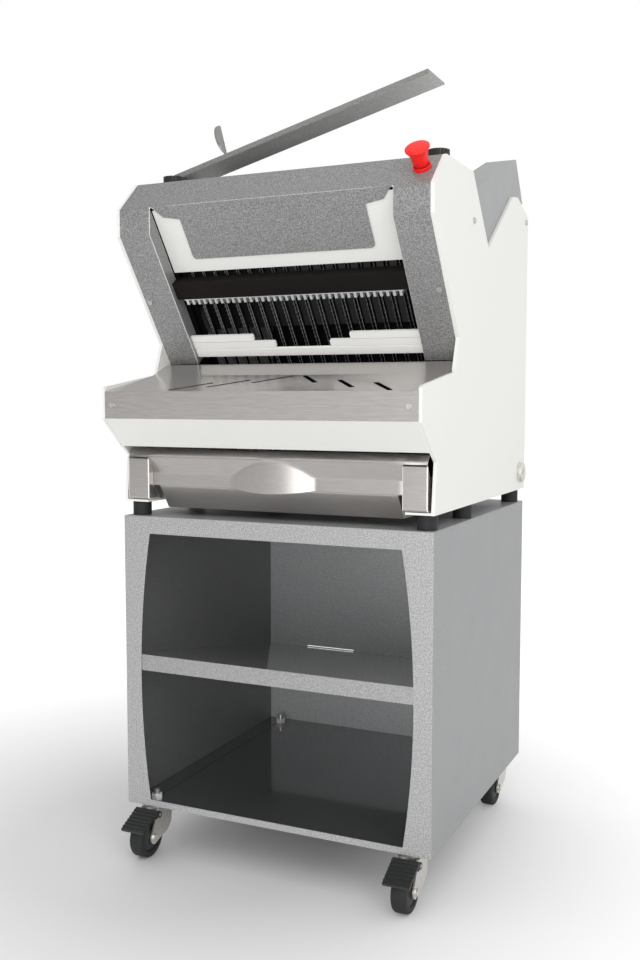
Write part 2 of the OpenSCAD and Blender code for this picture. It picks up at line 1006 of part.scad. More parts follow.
chute_side = [
  [chute_w0, floor_v],
  [chute_l, floor_v],
  [chute_l, mouth_v],
  [hood_w0, hood_v0],
  [hood_w0, hood_v0 - hood_lap],
  [chute_w0, hood_v0 - hood_lap]
];
hood_side = [[hood_w0, floor_v], [chute_l, floor_v], [chute_l, mouth_v], [hood_w0, hood_v0]];

// Extrudes an outline given as [w, v] between two x positions of the leaning frame
module lean_across(x0, x1) {
  in_lean() across(x0, x1) children();
}

module loading_chute() {
  color(dark_bar) {
    in_lean() box([-chute_x - sheet, chute_w0, floor_v - sheet], [chute_x + sheet, chute_l, floor_v]);
    both_sides() lean_across(chute_x, chute_x + sheet) polygon(chute_side);
  }
}

module loading_hood() {
  inner = chute_x + sheet;
  color(side_grey) {
    both_sides() {
      lean_across(hood_x - sheet, hood_x) polygon(hood_side);
      lean_across(inner, hood_x) polygon(bent([[hood_w0, hood_v0], [chute_l, mouth_v]], -sheet));
      in_lean() box([inner, chute_l - sheet, floor_v], [hood_x, chute_l, mouth_v]);
    }
    in_lean() box([-hood_x, hood_w0 - sheet, hood_v0 - hood_lap], [hood_x, hood_w0, hood_deck_v]);
  }
}

// Blade frames

module guide_rails() {
  w0 = front_w - rail_side;
  w1 = rear_w + blade_w + rail_side;
  color(machine_steel)
    both_sides()
      in_lean()
        difference() {
          box([rail_in, w0, rail_low_v], [panel_in, w1, rail_top_v]);
          for (w = [front_w, rear_w])
            box(
              [rail_in - past, w - fit, rail_low_v - past],
              [rail_in + rail_groove, w + blade_w + fit, rail_top_v + past]
            );
        }
}

module blade_frame(w, clevis_x) {
  inner = frame_half - frame_bar;
  color(machine_steel) {
    in_lean() {
      box([-frame_half, w, frame_low_v], [frame_half, w + blade_w, frame_low_top_v]);
      box([-frame_half, w, frame_top_v], [frame_half, w + blade_w, frame_cap_v]);
      both_sides() {
        box([inner, w, frame_low_v], [frame_half, w + blade_w, frame_cap_v]);
        box([frame_half, w, shoe_low_v], [shoe_out, w + blade_w, shoe_top_v]);
      }
    }
    // Two clevis plates that hang down beside the connecting rod's eye
    for (side = [-1, 1]) {
      x0 = clevis_x + side * (rod_t / 2 + clevis_gap + clevis_t / 2) - clevis_t / 2;
      lean_across(x0, x0 + clevis_t) clevis_outline(w + blade_w / 2);
    }
  }
}

module clevis_outline(w) {
  half = clevis_r - gap;
  eye_v = crank_v + rod_l;
  difference() {
    union() {
      translate([w, eye_v]) circle(clevis_r);
      translate([w - half, eye_v]) square([2 * half, frame_low_v + frame_bar / 2 - eye_v]);
    }
    translate([w, eye_v]) circle(rod_eye_bore);
  }
}

module blades(w, first) {
  color(blade_steel)
    in_lean()
      for (i = [first:2:blade_count - 1])
        translate([(i - blade_inset) * pitch, 0, 0])
          box([-blade_t / 2, w, frame_low_top_v], [blade_t / 2, w + blade_w, frame_top_v]);
}

rod_x_pos = (web_in + web_out) / 2;

module front_blade_frame() { blade_frame(front_w, -rod_x_pos); }
module rear_blade_frame() { blade_frame(rear_w, rod_x_pos); }
module front_blades() { blades(front_w, 1); }
module rear_blades() { blades(rear_w, 0); }

// Crank drive

module crank_bearings() {
  color(machine_steel)
    both_sides()
      difference() {
        rod_x(panel_in - bearing_w, panel_in, crank_pt, bearing_r);
        rod_x(panel_in - bearing_w - past, panel_in + past, crank_pt, shaft_r + fit);
      }
}

module crankshaft() {
  color(machine_steel) {
    both_sides() {
      rod_x(web_out, shaft_end, crank_pt, shaft_r);
      rod_x(web_out, web_out + web_t, crank_pt, web_r);
    }
    rod_x(-web_in, web_in, crank_pt, web_r);
    lean_rod_x(-web_out, -web_in, crank_w - throw_r, crank_v, pin_r);
    lean_rod_x(web_in, web_out, crank_w + throw_r, crank_v, pin_r);
  }
}

// Belt pulley between two x positions, with lips beside the belt
module pulley(pt, r, bore) {
  x0 = -pulley_x0 - pulley_w;
  difference() {
    union() {
      rod_x(x0, -pulley_x0, pt, r);
      rod_x(x0, x0 + pulley_land, pt, r + pulley_lip);
      rod_x(-pulley_x0 - pulley_land, -pulley_x0, pt, r + pulley_lip);
    }
    rod_x(x0 - past, -pulley_x0 + past, pt, bore);
  }
}

module crank_pulley() {
  color(machine_steel) pulley(crank_pt, pulley_r, shaft_r);
}

module connecting_rod(x, w) {
  half = rod_t / 2 - gap;
  color(machine_steel)
    lean_across(x - half, x + half)
      translate([w, crank_v])
        difference() {
          union() {
            circle(rod_head_r);
            translate([0, rod_l]) circle(rod_eye_r);
            translate([-rod_bar / 2, 0]) square([rod_bar, rod_l]);
          }
          circle(pin_r + fit);
          translate([0, rod_l]) circle(rod_eye_bore);
        }
}

module front_rod() { connecting_rod(-rod_x_pos, crank_w - throw_r); }
module rear_rod() { connecting_rod(rod_x_pos, crank_w + throw_r); }

module motor() {
  foot_y = motor_pt.x;
  color(side_grey)
    difference() {
      union() {
        rod_x(motor_x0, motor_x1, motor_pt, motor_r);
        box(
          [motor_x0 + motor_foot_h, foot_y - motor_foot_w / 2, base_z + base_t],
          [motor_x1 - motor_foot_h, foot_y + motor_foot_w / 2, base_z + base_t + motor_foot_h]
        );
      }
      rod_x(motor_x0 - past, motor_x0 + motor_r, motor_pt, motor_shaft_r + fit);
    }
}

module motor_pulley() {
  color(machine_steel) {
    pulley(motor_pt, motor_pulley_r, motor_shaft_r / 2);
    rod_x(-pulley_x0 - pulley_w, motor_x0 + motor_r / 2, motor_pt, motor_shaft_r);
  }
}

module belt_loop(t) {
  hull() {
    translate(crank_pt) circle(pulley_r + t, $fn = 64);
    translate(motor_pt) circle(motor_pulley_r + t, $fn = 64);
  }
}

module drive_belt() {
  x0 = -pulley_x0 - pulley_w + pulley_land + gap / 2;
  x1 = -pulley_x0 - pulley_land - gap / 2;
  color(black_rubber)
    across(x0, x1)
      difference() {
        belt_loop(gap / 2 + belt_t);
        belt_loop(gap / 2);
      }
}

// Loaf arm on the deck

module arm_bracket() {
  front = arm_front_y + arm_sheet + gap;
  rear = arm_rear_y - gap - bracket_t;
  color(zinc) {
    box(
      [arm_pivot_x - arm_eye_r, front, deck_z],
      [arm_pivot_x + arm_eye_r, rear + bracket_t, deck_z + bracket_t]
    );
    for (y = [front, rear])
      difference() {
        union() {
          translate([arm_pivot_x, y + bracket_t, arm_pivot_z])
            rotate([90, 0, 0]) cylinder(h = bracket_t, r = bracket_r);
          box([arm_pivot_x - bracket_r, y, deck_z], [arm_pivot_x + bracket_r, y + bracket_t, arm_pivot_z]);
        }
        translate([arm_pivot_x, y + bracket_t + past, arm_pivot_z])
          rotate([90, 0, 0]) cylinder(h = bracket_t + 2 * past, r = arm_pin_r);
      }
  }
}

module arm_pin() {
  color(zinc)
    translate([arm_pivot_x, arm_rear_y - gap, arm_pivot_z])
      rotate([90, 0, 0]) cylinder(h = arm_w - arm_sheet - 2 * gap, r = arm_pin_r);
}

module loaf_arm() {
  eye_in = bracket_t + 2 * gap;
  color(side_grey)
    translate([arm_pivot_x, 0, arm_pivot_z]) rotate([0, -arm_open, 0])
      difference() {
        union() {
          translate([0, arm_rear_y - eye_in, 0])
            rotate([90, 0, 0]) cylinder(h = arm_w - arm_sheet - 2 * eye_in, r = arm_eye_r);
          box([0, arm_front_y, arm_eye_r - arm_sheet], [arm_l, arm_rear_y, arm_eye_r]);
          box([arm_eye_r, arm_front_y, arm_eye_r - arm_lip], [arm_l, arm_front_y + arm_sheet, arm_eye_r]);
          // Half-round flag on a thin stem near the pivot
          translate([flag_x, flag_y - flag_stem_r, arm_eye_r - arm_sheet])
            cylinder(h = flag_up - arm_eye_r, r = flag_stem_r);
          translate([flag_x, flag_y, flag_up])
            intersection() {
              rotate([0, 90, 0]) translate([0, 0, -flag_t / 2]) cylinder(h = flag_t, r = flag_r);
              box([-flag_t, -flag_r, -flag_r], [flag_t, 0, flag_r]);
            }
        }
        translate([0, arm_rear_y + past, 0])
          rotate([90, 0, 0]) cylinder(h = arm_w + 2 * past, r = arm_pin_r + fit);
      }
}

// Controls

module knob(side) {
  color(black_rubber)
    translate([side * knob_x, knob_y, deck_z]) {
      cylinder(h = knob_neck_h, r = knob_neck_r);
      translate([0, 0, knob_neck_h])
        difference() {
          cylinder(h = knob_h, r = knob_r);
          for (i = [0:knob_ribs - 1])
            rotate([0, 0, i * 360 / knob_ribs])
              translate([knob_r, 0, -past]) cylinder(h = knob_h + 2 * past, r = knob_rib_r);
        }
    }
}

module knob_left() { knob(-1); }
module knob_right() { knob(1); }

estop_pt = fold_pt + estop_along_share * [crown_run, crown_rise];

module at_estop() {
  translate([estop_x, estop_pt.x, estop_pt.y]) rotate([slope_lean, 0, 0]) children();
}

module estop_collar() {
  color(signal_red)
    at_estop()
      difference() {
        cylinder(h = collar_h, r = collar_r);
        translate([0, 0, -past]) cylinder(h = collar_h + 2 * past, r = button_stem_r + fit);
      }
}

module estop_button() {
  color(signal_red)
    at_estop() {
      translate([0, 0, gap + estop_travel]) cylinder(h = stem_h, r = button_stem_r);
      translate([0, 0, stem_h]) cylinder(h = button_flare_h, r1 = button_stem_r, r2 = button_r);
      translate([0, 0, stem_h + button_flare_h]) cylinder(h = button_h - button_flare_h, r = button_r);
    }
}

// Gland and fasteners

module cable_gland() {
  pt = [gland_y, base_z + gland_up];
  color(zinc)
    difference() {
      union() {
        rod_x(panel_out, panel_out + gland_h, pt, gland_r);
        rod_x(panel_in - gland_h, panel_out, pt, gland_neck_r);
      }
      // Wider behind the panel's face, so that only the head grips the cable
      rod_x(panel_in - gland_h - past, panel_out, pt, gland_seat_r);
      rod_x(panel_out - past, panel_out + gland_h + past, pt, gland_bore_r);
    }
}

// Side-panel bolts as [y, z], mirrored on both sides
bolt_down_share = 0.7;
panel_bolts = [
  [deck_end + bolt_behind, deck_z - bolt_down_share * notch_depth],
  [body_rear - bolt_in, deck_z - bolt_down]
];
post_screw_v = 140;
post_screw_in = 11;
apron_screw_in = 15;

module panel_screws() {
  color(zinc)
    both_sides() {
      for (b = panel_bolts)
        rod_x(panel_out, panel_out + screw_h, b, screw_r);
      in_lean()
        translate([cover_x - post_screw_in, 0, post_screw_v])
          rotate([90, 0, 0]) cylinder(h = screw_h, r = screw_r);
      translate([tray_x - apron_screw_in, tray_front.x, tray_front.y - apron_h / 2])
        rotate([90, 0, 0]) cylinder(h = screw_h, r = screw_r);
    }
}

stand_top();
stand_left_side();
stand_right_side();
stand_back();
stand_front_frame();
stand_shelf();
stand_bottom();
castor_heads();
castor_nuts();
castor_fork_front_left();
castor_fork_front_right();
castor_fork_rear_left();
castor_fork_rear_right();
castor_wheel_front_left();
castor_wheel_front_right();
castor_wheel_rear_left();
castor_wheel_rear_right();
brake_pedal_left();
brake_pedal_right();
left_panel();
right_panel();
rubber_feet();
base_plate();
rear_panel();
top_deck();
front_cover();
inner_panel();
outfeed_sill();
outfeed_steps();
comb_bar();
guide_comb();
reception_tray();
lower_panel();
drawer_runners();
crumb_drawer();
drawer_front();
loading_chute();
loading_hood();
guide_rails();
front_blade_frame();
front_blades();
rear_blade_frame();
rear_blades();
crank_bearings();
crankshaft();
crank_pulley();
front_rod();
rear_rod();
motor();
motor_pulley();
drive_belt();
arm_bracket();
arm_pin();
loaf_arm();
knob_left();
knob_right();
estop_collar();
estop_button();
cable_gland();
panel_screws();
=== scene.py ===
"""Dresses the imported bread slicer: finishes, rounded sheet edges, toothed blades, castors and controls."""
import json
import math

import bmesh
import bpy
from bpy.props import FloatProperty, FloatVectorProperty, IntProperty, PointerProperty
from mathutils import Matrix, Vector


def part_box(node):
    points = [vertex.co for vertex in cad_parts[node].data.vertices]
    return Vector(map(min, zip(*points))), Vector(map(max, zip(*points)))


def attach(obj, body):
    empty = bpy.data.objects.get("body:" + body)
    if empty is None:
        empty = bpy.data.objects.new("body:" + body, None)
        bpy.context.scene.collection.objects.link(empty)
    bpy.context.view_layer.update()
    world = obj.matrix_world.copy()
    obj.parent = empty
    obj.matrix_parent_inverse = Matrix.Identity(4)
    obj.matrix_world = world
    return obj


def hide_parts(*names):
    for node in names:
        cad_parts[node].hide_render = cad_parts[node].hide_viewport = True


bl_info = {
    "name": "Bread slicer on a castor stand",
    "version": (1, 0, 0),
    "blender": (4, 5, 0),
    "location": "View3D > Sidebar > Slicer",
    "description": "Finishes and detail for the packed model of a bread slicer",
    "category": "Object",
}

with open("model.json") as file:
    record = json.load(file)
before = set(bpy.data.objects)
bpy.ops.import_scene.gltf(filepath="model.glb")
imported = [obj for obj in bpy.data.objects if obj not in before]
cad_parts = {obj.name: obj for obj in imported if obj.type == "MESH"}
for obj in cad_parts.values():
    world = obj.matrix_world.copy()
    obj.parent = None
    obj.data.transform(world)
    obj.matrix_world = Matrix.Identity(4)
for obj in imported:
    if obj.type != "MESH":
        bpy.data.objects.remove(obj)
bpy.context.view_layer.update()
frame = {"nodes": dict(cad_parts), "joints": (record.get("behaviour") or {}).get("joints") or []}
NODES = frame["nodes"]
JOINTS = {joint["name"]: joint for joint in frame["joints"]}
MM = 0.001
CORNERS = ("front_left", "front_right", "rear_left", "rear_right")

# Points of a solid that are nearer than this are one
SAME_POINT = 0.002 * MM
# In degrees: the gentlest fold that is rounded, the same for the front cover, and the gentlest crease
FOLD_ANGLE = 32
COVER_FOLD_ANGLE = 40
CREASE_ANGLE = 60
FLAT_FACE_WEIGHT = 80

# The part of the noise over which a finish changes its tint and its roughness
GRAIN_SPAN = (0.36, 0.64)
WEAR_SPAN = (0.3, 0.7)
# Size of worn patches, and the share by which their roughness differs
WEAR_SIZE = 60 * MM
WEAR = 0.07
# A face looks along an axis from the first value of its normal on, and fully so from the second one on
FACING = (0.5, 0.6)

# Columns of the drawer's front on each side of the pull's middle, and how far they reach, in half pulls
PRESS_COLUMNS = 40
PRESS_REACH = 1.3
# Columns beyond the pull, as shares of half the front
OUTER_COLUMNS = (0.6, 0.8, 1)
FACE_ROWS = 34
# Rows of the slope over the brow as shares of its height, and the power that curves it
BROW_SHARES = (0.15, 0.4, 0.7, 0.95)
BROW_CURVE = 1.6

# Points of one scallop, as shares of the pitch and of the depth
SCALLOP = ((0, 0), (0.25, 0.8), (0.5, 1), (0.75, 0.8))
# Thickness of a blade's edge as a share of the blade's
EDGE_SHARE = 0.25

# Profile of the emergency stop in millimetres: how much wider than its stem at a height
STOP_BODY = ((-1, 3), (0, 4), (0, 8.5), (0.8, 10), (1.6, 16), (2.6, 22), (4, 26))
# How much wider than its rim at a height
STOP_FLARE = ((-2.2, 29), (-0.6, 31))
# The share of the rim's radius at a height over the rim
STOP_CROWN = ((0.6, 0.6), (0.3, 1), (0, 1.1))

WHITE = (1, 1, 1)
# Tones of the floor's paper, as it lights the object and as the camera sees it; the camera's darker tone is
# the painted shadow's grey
PAPER_LIT = 0.86
PAPER_SEEN = 0.76
# In metres: the shift of the paper's painted shadow, a grey patch round the object, and the radii between
# which it fades to white
PAPER_SHADOW_SHIFT = (0.25, 0.2, 0)
PAPER_SHADOW_FADE = (0.3, 1.3)
PAPER_GLOW = 0.45
# The world's light on the object
WORLD_LIGHT = 0.88
# Where the world's reflections darken, as the X part of a direction, and how dark they get
FLAG_SPAN = (-0.62, -0.12)
FLAG_LIGHT = 0.4


def linear(hex_colour):
    """Linear RGB of an sRGB hex colour."""
    parts = [int(hex_colour[i:i + 2], 16) / 255 for i in (1, 3, 5)]
    return tuple(c / 12.92 if c <= 0.04045 else ((c + 0.055) / 1.055) ** 2.4 for c in parts)


def colour(name, words, hex_colour):
    """A colour that a user may change."""
    return FloatVectorProperty(
        name=name, description=words, subtype="COLOR", size=3, min=0, max=1, default=linear(hex_colour)
    )


def length(name, words, millimetres):
    """A length that a user may change."""
    return FloatProperty(name=name, description=words, unit="LENGTH", min=0, default=millimetres * MM)


def count(name, words, number):
    """A number of like pieces that a user may change."""
    return IntProperty(name=name, description=words, min=2, default=number)


class SlicerColours(bpy.types.PropertyGroup):
    """Colours of the finishes."""
    hammered: colour("Hammered grey", "Hammer-finish enamel of the covers", "#919191")
    # Fold rim: a paler colour on the roundings of folds, a painted highlight
    rim: colour("Fold rim", "Thin, shinier enamel over the covers' folds and cut edges", "#e6e6e4")
    arm: colour("Arm grey", "Enamel of the loaf arm", "#8a8a88")
    frame: colour("Frame grey", "Hammer-finish enamel of the stand's front and shelf", "#aeaeae")
    smooth: colour("Smooth grey", "Satin enamel of the stand's panels and the hood", "#9b9c9d")
    # Inside grey is darker than the stand's outer enamel: partly painted shade inside the stand
    inside: colour("Inside grey", "Gloss enamel of the stand's floor", "#767879")
    white: colour("Off-white", "Powder coat of the machine's panels", "#ecece8")
    strip: colour("Strip white", "Moulded white strips and sill of the outfeed", "#fbfbf8")
    stainless: colour("Stainless", "Ground sheet of the drawer", "#bdb9b6")
    # Near-white colour of the nuts and the drawer's folds: a painted highlight
    highlight_paint: colour("Burnished metal", "Nuts and the drawer's folds, rubbed bright", "#f6f4f1")
    tray: colour("Tray", "Polished sheet of the reception tray", "#c6c2bf")
    zinc: colour("Zinc", "Bright plated castors and brackets", "#e0ddd7")
    dull: colour("Dull zinc", "Plated screws, gone dull", "#c6c6c4")
    steel: colour("Machine steel", "Ground bars and shafts of the drive", "#85878a")
    # Blade steel is nearly black as painted shade, and the edge colour is partly a painted highlight
    blade: colour("Blade steel", "Oiled spring steel of the blades", "#1d1e1f")
    edge: colour("Blade edge", "Freshly ground teeth of the blades and the comb", "#dcdedf")
    rubber: colour("Rubber", "Black rubber of tyres, feet and belt", "#1c1d1e")
    plastic: colour("Black plastic", "Moulded knobs, pedals and hubs", "#232425")
    bar: colour("Dark bar", "Brown-black bar over the guide comb", "#130f0d")
    # Chute black is painted shade inside the chute
    chute: colour("Chute black", "Black enamel inside the loading chute", "#111111")
    red: colour("Signal red", "Moulded head of the emergency stop", "#f5150f")
    motor: colour("Motor grey", "Enamel on the motor's casting", "#54585a")


class SlicerSizes(bpy.types.PropertyGroup):
    """Sizes of the detail that is added to the solids."""
    sheet_edge: length("Sheet edge", "Rounding of sheet metal edges", 0.5)
    rim_edge: length("Rim edge", "Rounding of enamelled folds, wider than real so that it shows", 0.9)
    fold_edge: length("Fold edge", "Rounding of folds and thick plate edges", 1.4)
    dimple: length("Dimple", "Dimple of the hammer finish, coarser than real so that it shows", 2.3)
    axle_radius: length("Axle radius", "Radius of the hole in a castor's hub", 5)
    boss_radius: length("Boss radius", "Radius of the boss round a castor's axle", 13)
    hub_radius: length("Hub radius", "Radius of a castor's dished hub", 25)
    hub_step: length("Hub step", "Width of the step between the hub's boss and its dish", 1)
    dish_depth: length("Dish depth", "Depth of the hub's dish", 3)
    tyre_shoulder: length("Tyre shoulder", "Rounding of a tyre's shoulders", 6)
    front_blade_count: count("Front blades", "Blades in the front frame", 18)
    rear_blade_count: count("Rear blades", "Blades in the rear frame", 19)
    tooth_pitch: length("Tooth pitch", "Distance between two scallops of a blade", 9)
    tooth_depth: length("Tooth depth", "Depth of a scallop", 2.2)
    ground_width: length("Ground width", "Width of the ground land behind the scallops", 2)
    blade_thickness: length("Blade thickness", "Thickness of a blade", 0.6)
    row_inset: length("Row inset", "How far each row of blades is set towards the other one", 6)
    pull_width: length("Pull width", "Width of the drawer's pressed pull", 160)
    pull_depth: length("Pull depth", "Depth of the pull in front of the drawer's face", 16)
    pull_dip: length("Pull dip", "Dip of the pull's lower lip", 6)
    press_blend: length("Press radius", "Softness of the pressed pull's edges", 4)
    brow_drop: length("Brow drop", "Height of the slope at the drawer's top edge", 16)
    brow_out: length("Brow depth", "Depth of the drawer's brow in front of its face", 15)
    waist_drop: length("Waist drop", "Height from the drawer's top to the fold under its brow", 44)
    face_drop: length("Face drop", "Height from the drawer's top to its lower lip", 68)
    drawer_sheet: length("Drawer sheet", "Thickness of the drawer front's sheet", 1.6)
    end_gap: length("End gap", "Gap between the drawer front's sheet and the outer faces of its ends", 1)
    flange_start: length("Flange start", "Distance from the drawer's face to its top flange", 1)
    flange_end: length("Flange end", "Distance from the drawer's face to the end of its top flange", 9)
    cheek_width: length("Cheek width", "Width of a boxed end of the drawer's front", 44)
    cheek_depth: length("Cheek depth", "Depth of a boxed end's underside", 38)
    cheek_corner: length("Cheek corner", "Rounding of a boxed end's lower corner", 5)
    cheek_fold: length("Cheek fold", "Rounding of a boxed end's folds", 2.5)
    stop_stem: length("Stop stem", "Radius of the emergency stop's stem", 12.5)
    stop_rim: length("Stop rim", "Radius of the emergency stop's rim", 20.5)
    stop_height: length("Stop height", "Height of the emergency stop's rim over its collar's middle", 35)
    stop_lip: length("Stop lip", "Rounding of the emergency stop's rim", 2)
    floor_size: length("Floor size", "Side of the stage's floor", 30000)


def settings():
    """The scene's slicer settings."""
    return bpy.context.scene.slicer_colours, bpy.context.scene.slicer_sizes


# Materials

def add(tree, kind, values=None, links=None):
    """Adds a node, sets its values (sockets by name, other settings as attributes) and links its inputs."""
    made = tree.nodes.new(kind)
    for key, value in (values or {}).items():
        if isinstance(key, str) and hasattr(made, key):
            setattr(made, key, value)
        else:
            made.inputs[key].default_value = value
    for key, source in (links or {}).items():
        tree.links.new(source, made.inputs[key])
    return made


def rgba(rgb, share=1.0):
    """A colour scaled by a share, with full alpha."""
    return tuple(min(1, c * share) for c in rgb) + (1,)


def finish(name, rgb, size, spread, bump, shader, stretch=(1, 1, 1), shade=None):
    """A painted, moulded or ground finish.

    size is the pattern's real size in metres, spread its change of colour and bump its height in metres.
    shader holds values of the shader's own sockets. shade is an axis, a sign and two shares: on the faces
    that look that way, the first one scales the colour and the second one the roughness.
    """
    material = bpy.data.materials.new(name)
    material.use_nodes = True
    tree = material.node_tree
    principled = tree.nodes["Principled BSDF"]
    place = add(tree, "ShaderNodeTexCoord").outputs["Object"]
    spot = add(tree, "ShaderNodeMapping", {"Scale": stretch}, {"Vector": place})
    grain = add(tree, "ShaderNodeTexNoise", {"Scale": 1 / size}, {"Vector": spot.outputs["Vector"]})
    tint = add(tree, "ShaderNodeValToRGB", links={"Fac": grain.outputs["Fac"]})
    for i, share in enumerate((1 - spread, 1 + spread)):
        tint.color_ramp.elements[i].position = GRAIN_SPAN[i]
        tint.color_ramp.elements[i].color = rgba(rgb, share)
    values = dict(shader)
    rough = values.pop("Roughness")
    for key, value in values.items():
        principled.inputs[key].default_value = value
    cloud = add(tree, "ShaderNodeTexNoise", {"Scale": 1 / WEAR_SIZE, "Detail": 3}, {"Vector": place})
    worn = add(
        tree, "ShaderNodeMapRange",
        {
            "From Min": WEAR_SPAN[0], "From Max": WEAR_SPAN[1],
            "To Min": rough * (1 - WEAR), "To Max": rough * (1 + WEAR),
        },
        {"Value": cloud.outputs["Fac"]},
    )
    colour_out, rough_out = tint.outputs["Color"], worn.outputs["Result"]
    if shade:
        axis, sign, tone, gloss = shade
        normal = add(tree, "ShaderNodeNewGeometry").outputs["True Normal"]
        facing = add(tree, "ShaderNodeSeparateXYZ", links={"Vector": normal}).outputs[axis]
        looking = {"From Min": FACING[0] * sign, "From Max": FACING[1] * sign, "To Min": 1.0}
        dim = add(tree, "ShaderNodeMapRange", {**looking, "To Max": tone}, {"Value": facing})
        dull = add(tree, "ShaderNodeMapRange", {**looking, "To Max": gloss}, {"Value": facing})
        dimmed = add(
            tree, "ShaderNodeVectorMath", {"operation": "SCALE"},
            {0: colour_out, "Scale": dim.outputs["Result"]},
        )
        dulled = add(
            tree, "ShaderNodeMath", {"operation": "MULTIPLY"}, {0: rough_out, 1: dull.outputs["Result"]}
        )
        colour_out, rough_out = dimmed.outputs["Vector"], dulled.outputs["Value"]
    relief = add(
        tree, "ShaderNodeBump", {"Strength": 1.0, "Distance": bump}, {"Height": grain.outputs["Fac"]}
    )
    tree.links.new(colour_out, principled.inputs["Base Color"])
    tree.links.new(rough_out, principled.inputs["Roughness"])
    tree.links.new(relief.outputs["Normal"], principled.inputs["Normal"])
    return material


def enamels(c, dimple):
    """Enamelled and powder-coated sheet, and the motor's casting."""
    hammer = {"Metallic": 0.35, "Roughness": 0.42, "Coat Weight": 0.12, "Coat Roughness": 0.25}
    satin = {"Metallic": 0.25, "Roughness": 0.4, "Coat Weight": 0.1, "Coat Roughness": 0.3}
    made = {
        # Hammer-finish enamel: fine dimples that scatter small lights over a metallic grey
        "hammered": finish(
            "hammertone_enamel", c.hammered, size=dimple, spread=0.34, bump=0.05 * MM, shader=hammer
        ),
        # The stand's front has a paler coat of it
        "frame": finish(
            "pale_hammertone_enamel", c.frame, size=dimple, spread=0.28, bump=0.05 * MM, shader=hammer
        ),
        # Paler enamel on the roundings of folds and cut edges: a painted highlight, a bright line along the
        # sheet
        "rim": finish(
            "painted_highlight_rim", c.rim, size=dimple, spread=0.1, bump=0.02 * MM,
            shader={"Metallic": 0.2, "Roughness": 0.35},
        ),
        # The loaf arm's faces that look down are three times paler: painted light on its underside
        "arm": finish(
            "arm_sheet_painted_light_underneath", c.arm, size=dimple, spread=0.2, bump=0.05 * MM, shader=satin,
            shade=("Z", -1, 3.0, 1),
        ),
        # Satin enamel on flat sheet: nearly smooth, with a faint orange peel
        "smooth": finish(
            "satin_grey_enamel", c.smooth, size=dimple, spread=0.05, bump=0.01 * MM, shader=satin
        ),
        # The shelf's top is rubbed to a gloss and mirrors the walls
        "shelf": finish(
            "inner_coat_shelf", c.frame, size=dimple, spread=0.2, bump=0.006 * MM,
            shader={"Metallic": 0.8, "Roughness": 0.42}, shade=("Z", 1, 1.3, 0.2),
        ),
        # Gloss enamel of the stand's floor, which mirrors the wall behind it; its dark grey is partly the
        # enamel's own and partly painted shade inside the stand
        "gloss": finish(
            "gloss_enamel_painted_shade", c.inside, size=4 * MM, spread=0.03, bump=0.004 * MM,
            shader={"Metallic": 0.7, "Roughness": 0.1, "Coat Weight": 0.6, "Coat Roughness": 0.05},
        ),
        # Off-white powder coat: even and satin, with a fine grain
        "white": finish(
            "off_white_powder_coat", c.white, size=1.6 * MM, spread=0.012, bump=0.012 * MM,
            shader={"Roughness": 0.42},
        ),
        # The same coat on the rear panel, whose inner face is nearly black: painted shade inside the machine
        "rear": finish(
            "powder_coat_painted_shade_inside", c.white, size=1.6 * MM, spread=0.012, bump=0.012 * MM,
            shader={"Roughness": 0.42}, shade=("Y", -1, 0.02, 1.6),
        ),
        # Nearly black inside the chute: painted shade, dull, so that the blades stand out in front of it
        "chute": finish(
            "dull_black_painted_shade", c.chute, size=5 * MM, spread=0.2, bump=0.02 * MM,
            shader={"Roughness": 0.6, "Specular IOR Level": 0.15},
        ),
        # Enamelled casting of the motor: even grey over the sand's coarse grain
        "motor": finish(
            "enamelled_casting", c.motor, size=2.5 * MM, spread=0.08, bump=0.06 * MM,
            shader={"Roughness": 0.5},
        ),
    }
    # The stand's panels are satin outside. Their inner faces have a speckled coat that carries painted light
    # and shade:
    # paler on the back and darker on the others
    inner_painted_shades = {
        "left": (0.12, ("X", 1, 0.57, 0.9)),
        "right": (0.06, ("X", -1, 0.66, 0.9)),
        "back": (0.16, ("Y", -1, 1.9, 1)),
        "top": (0.1, ("Z", -1, 0.6, 1)),
    }
    for side, (spread, shade) in inner_painted_shades.items():
        made[side] = finish(
            "inner_coat_" + side, c.smooth, size=dimple, spread=spread, bump=0.01 * MM, shader=satin,
            shade=shade,
        )
    return made


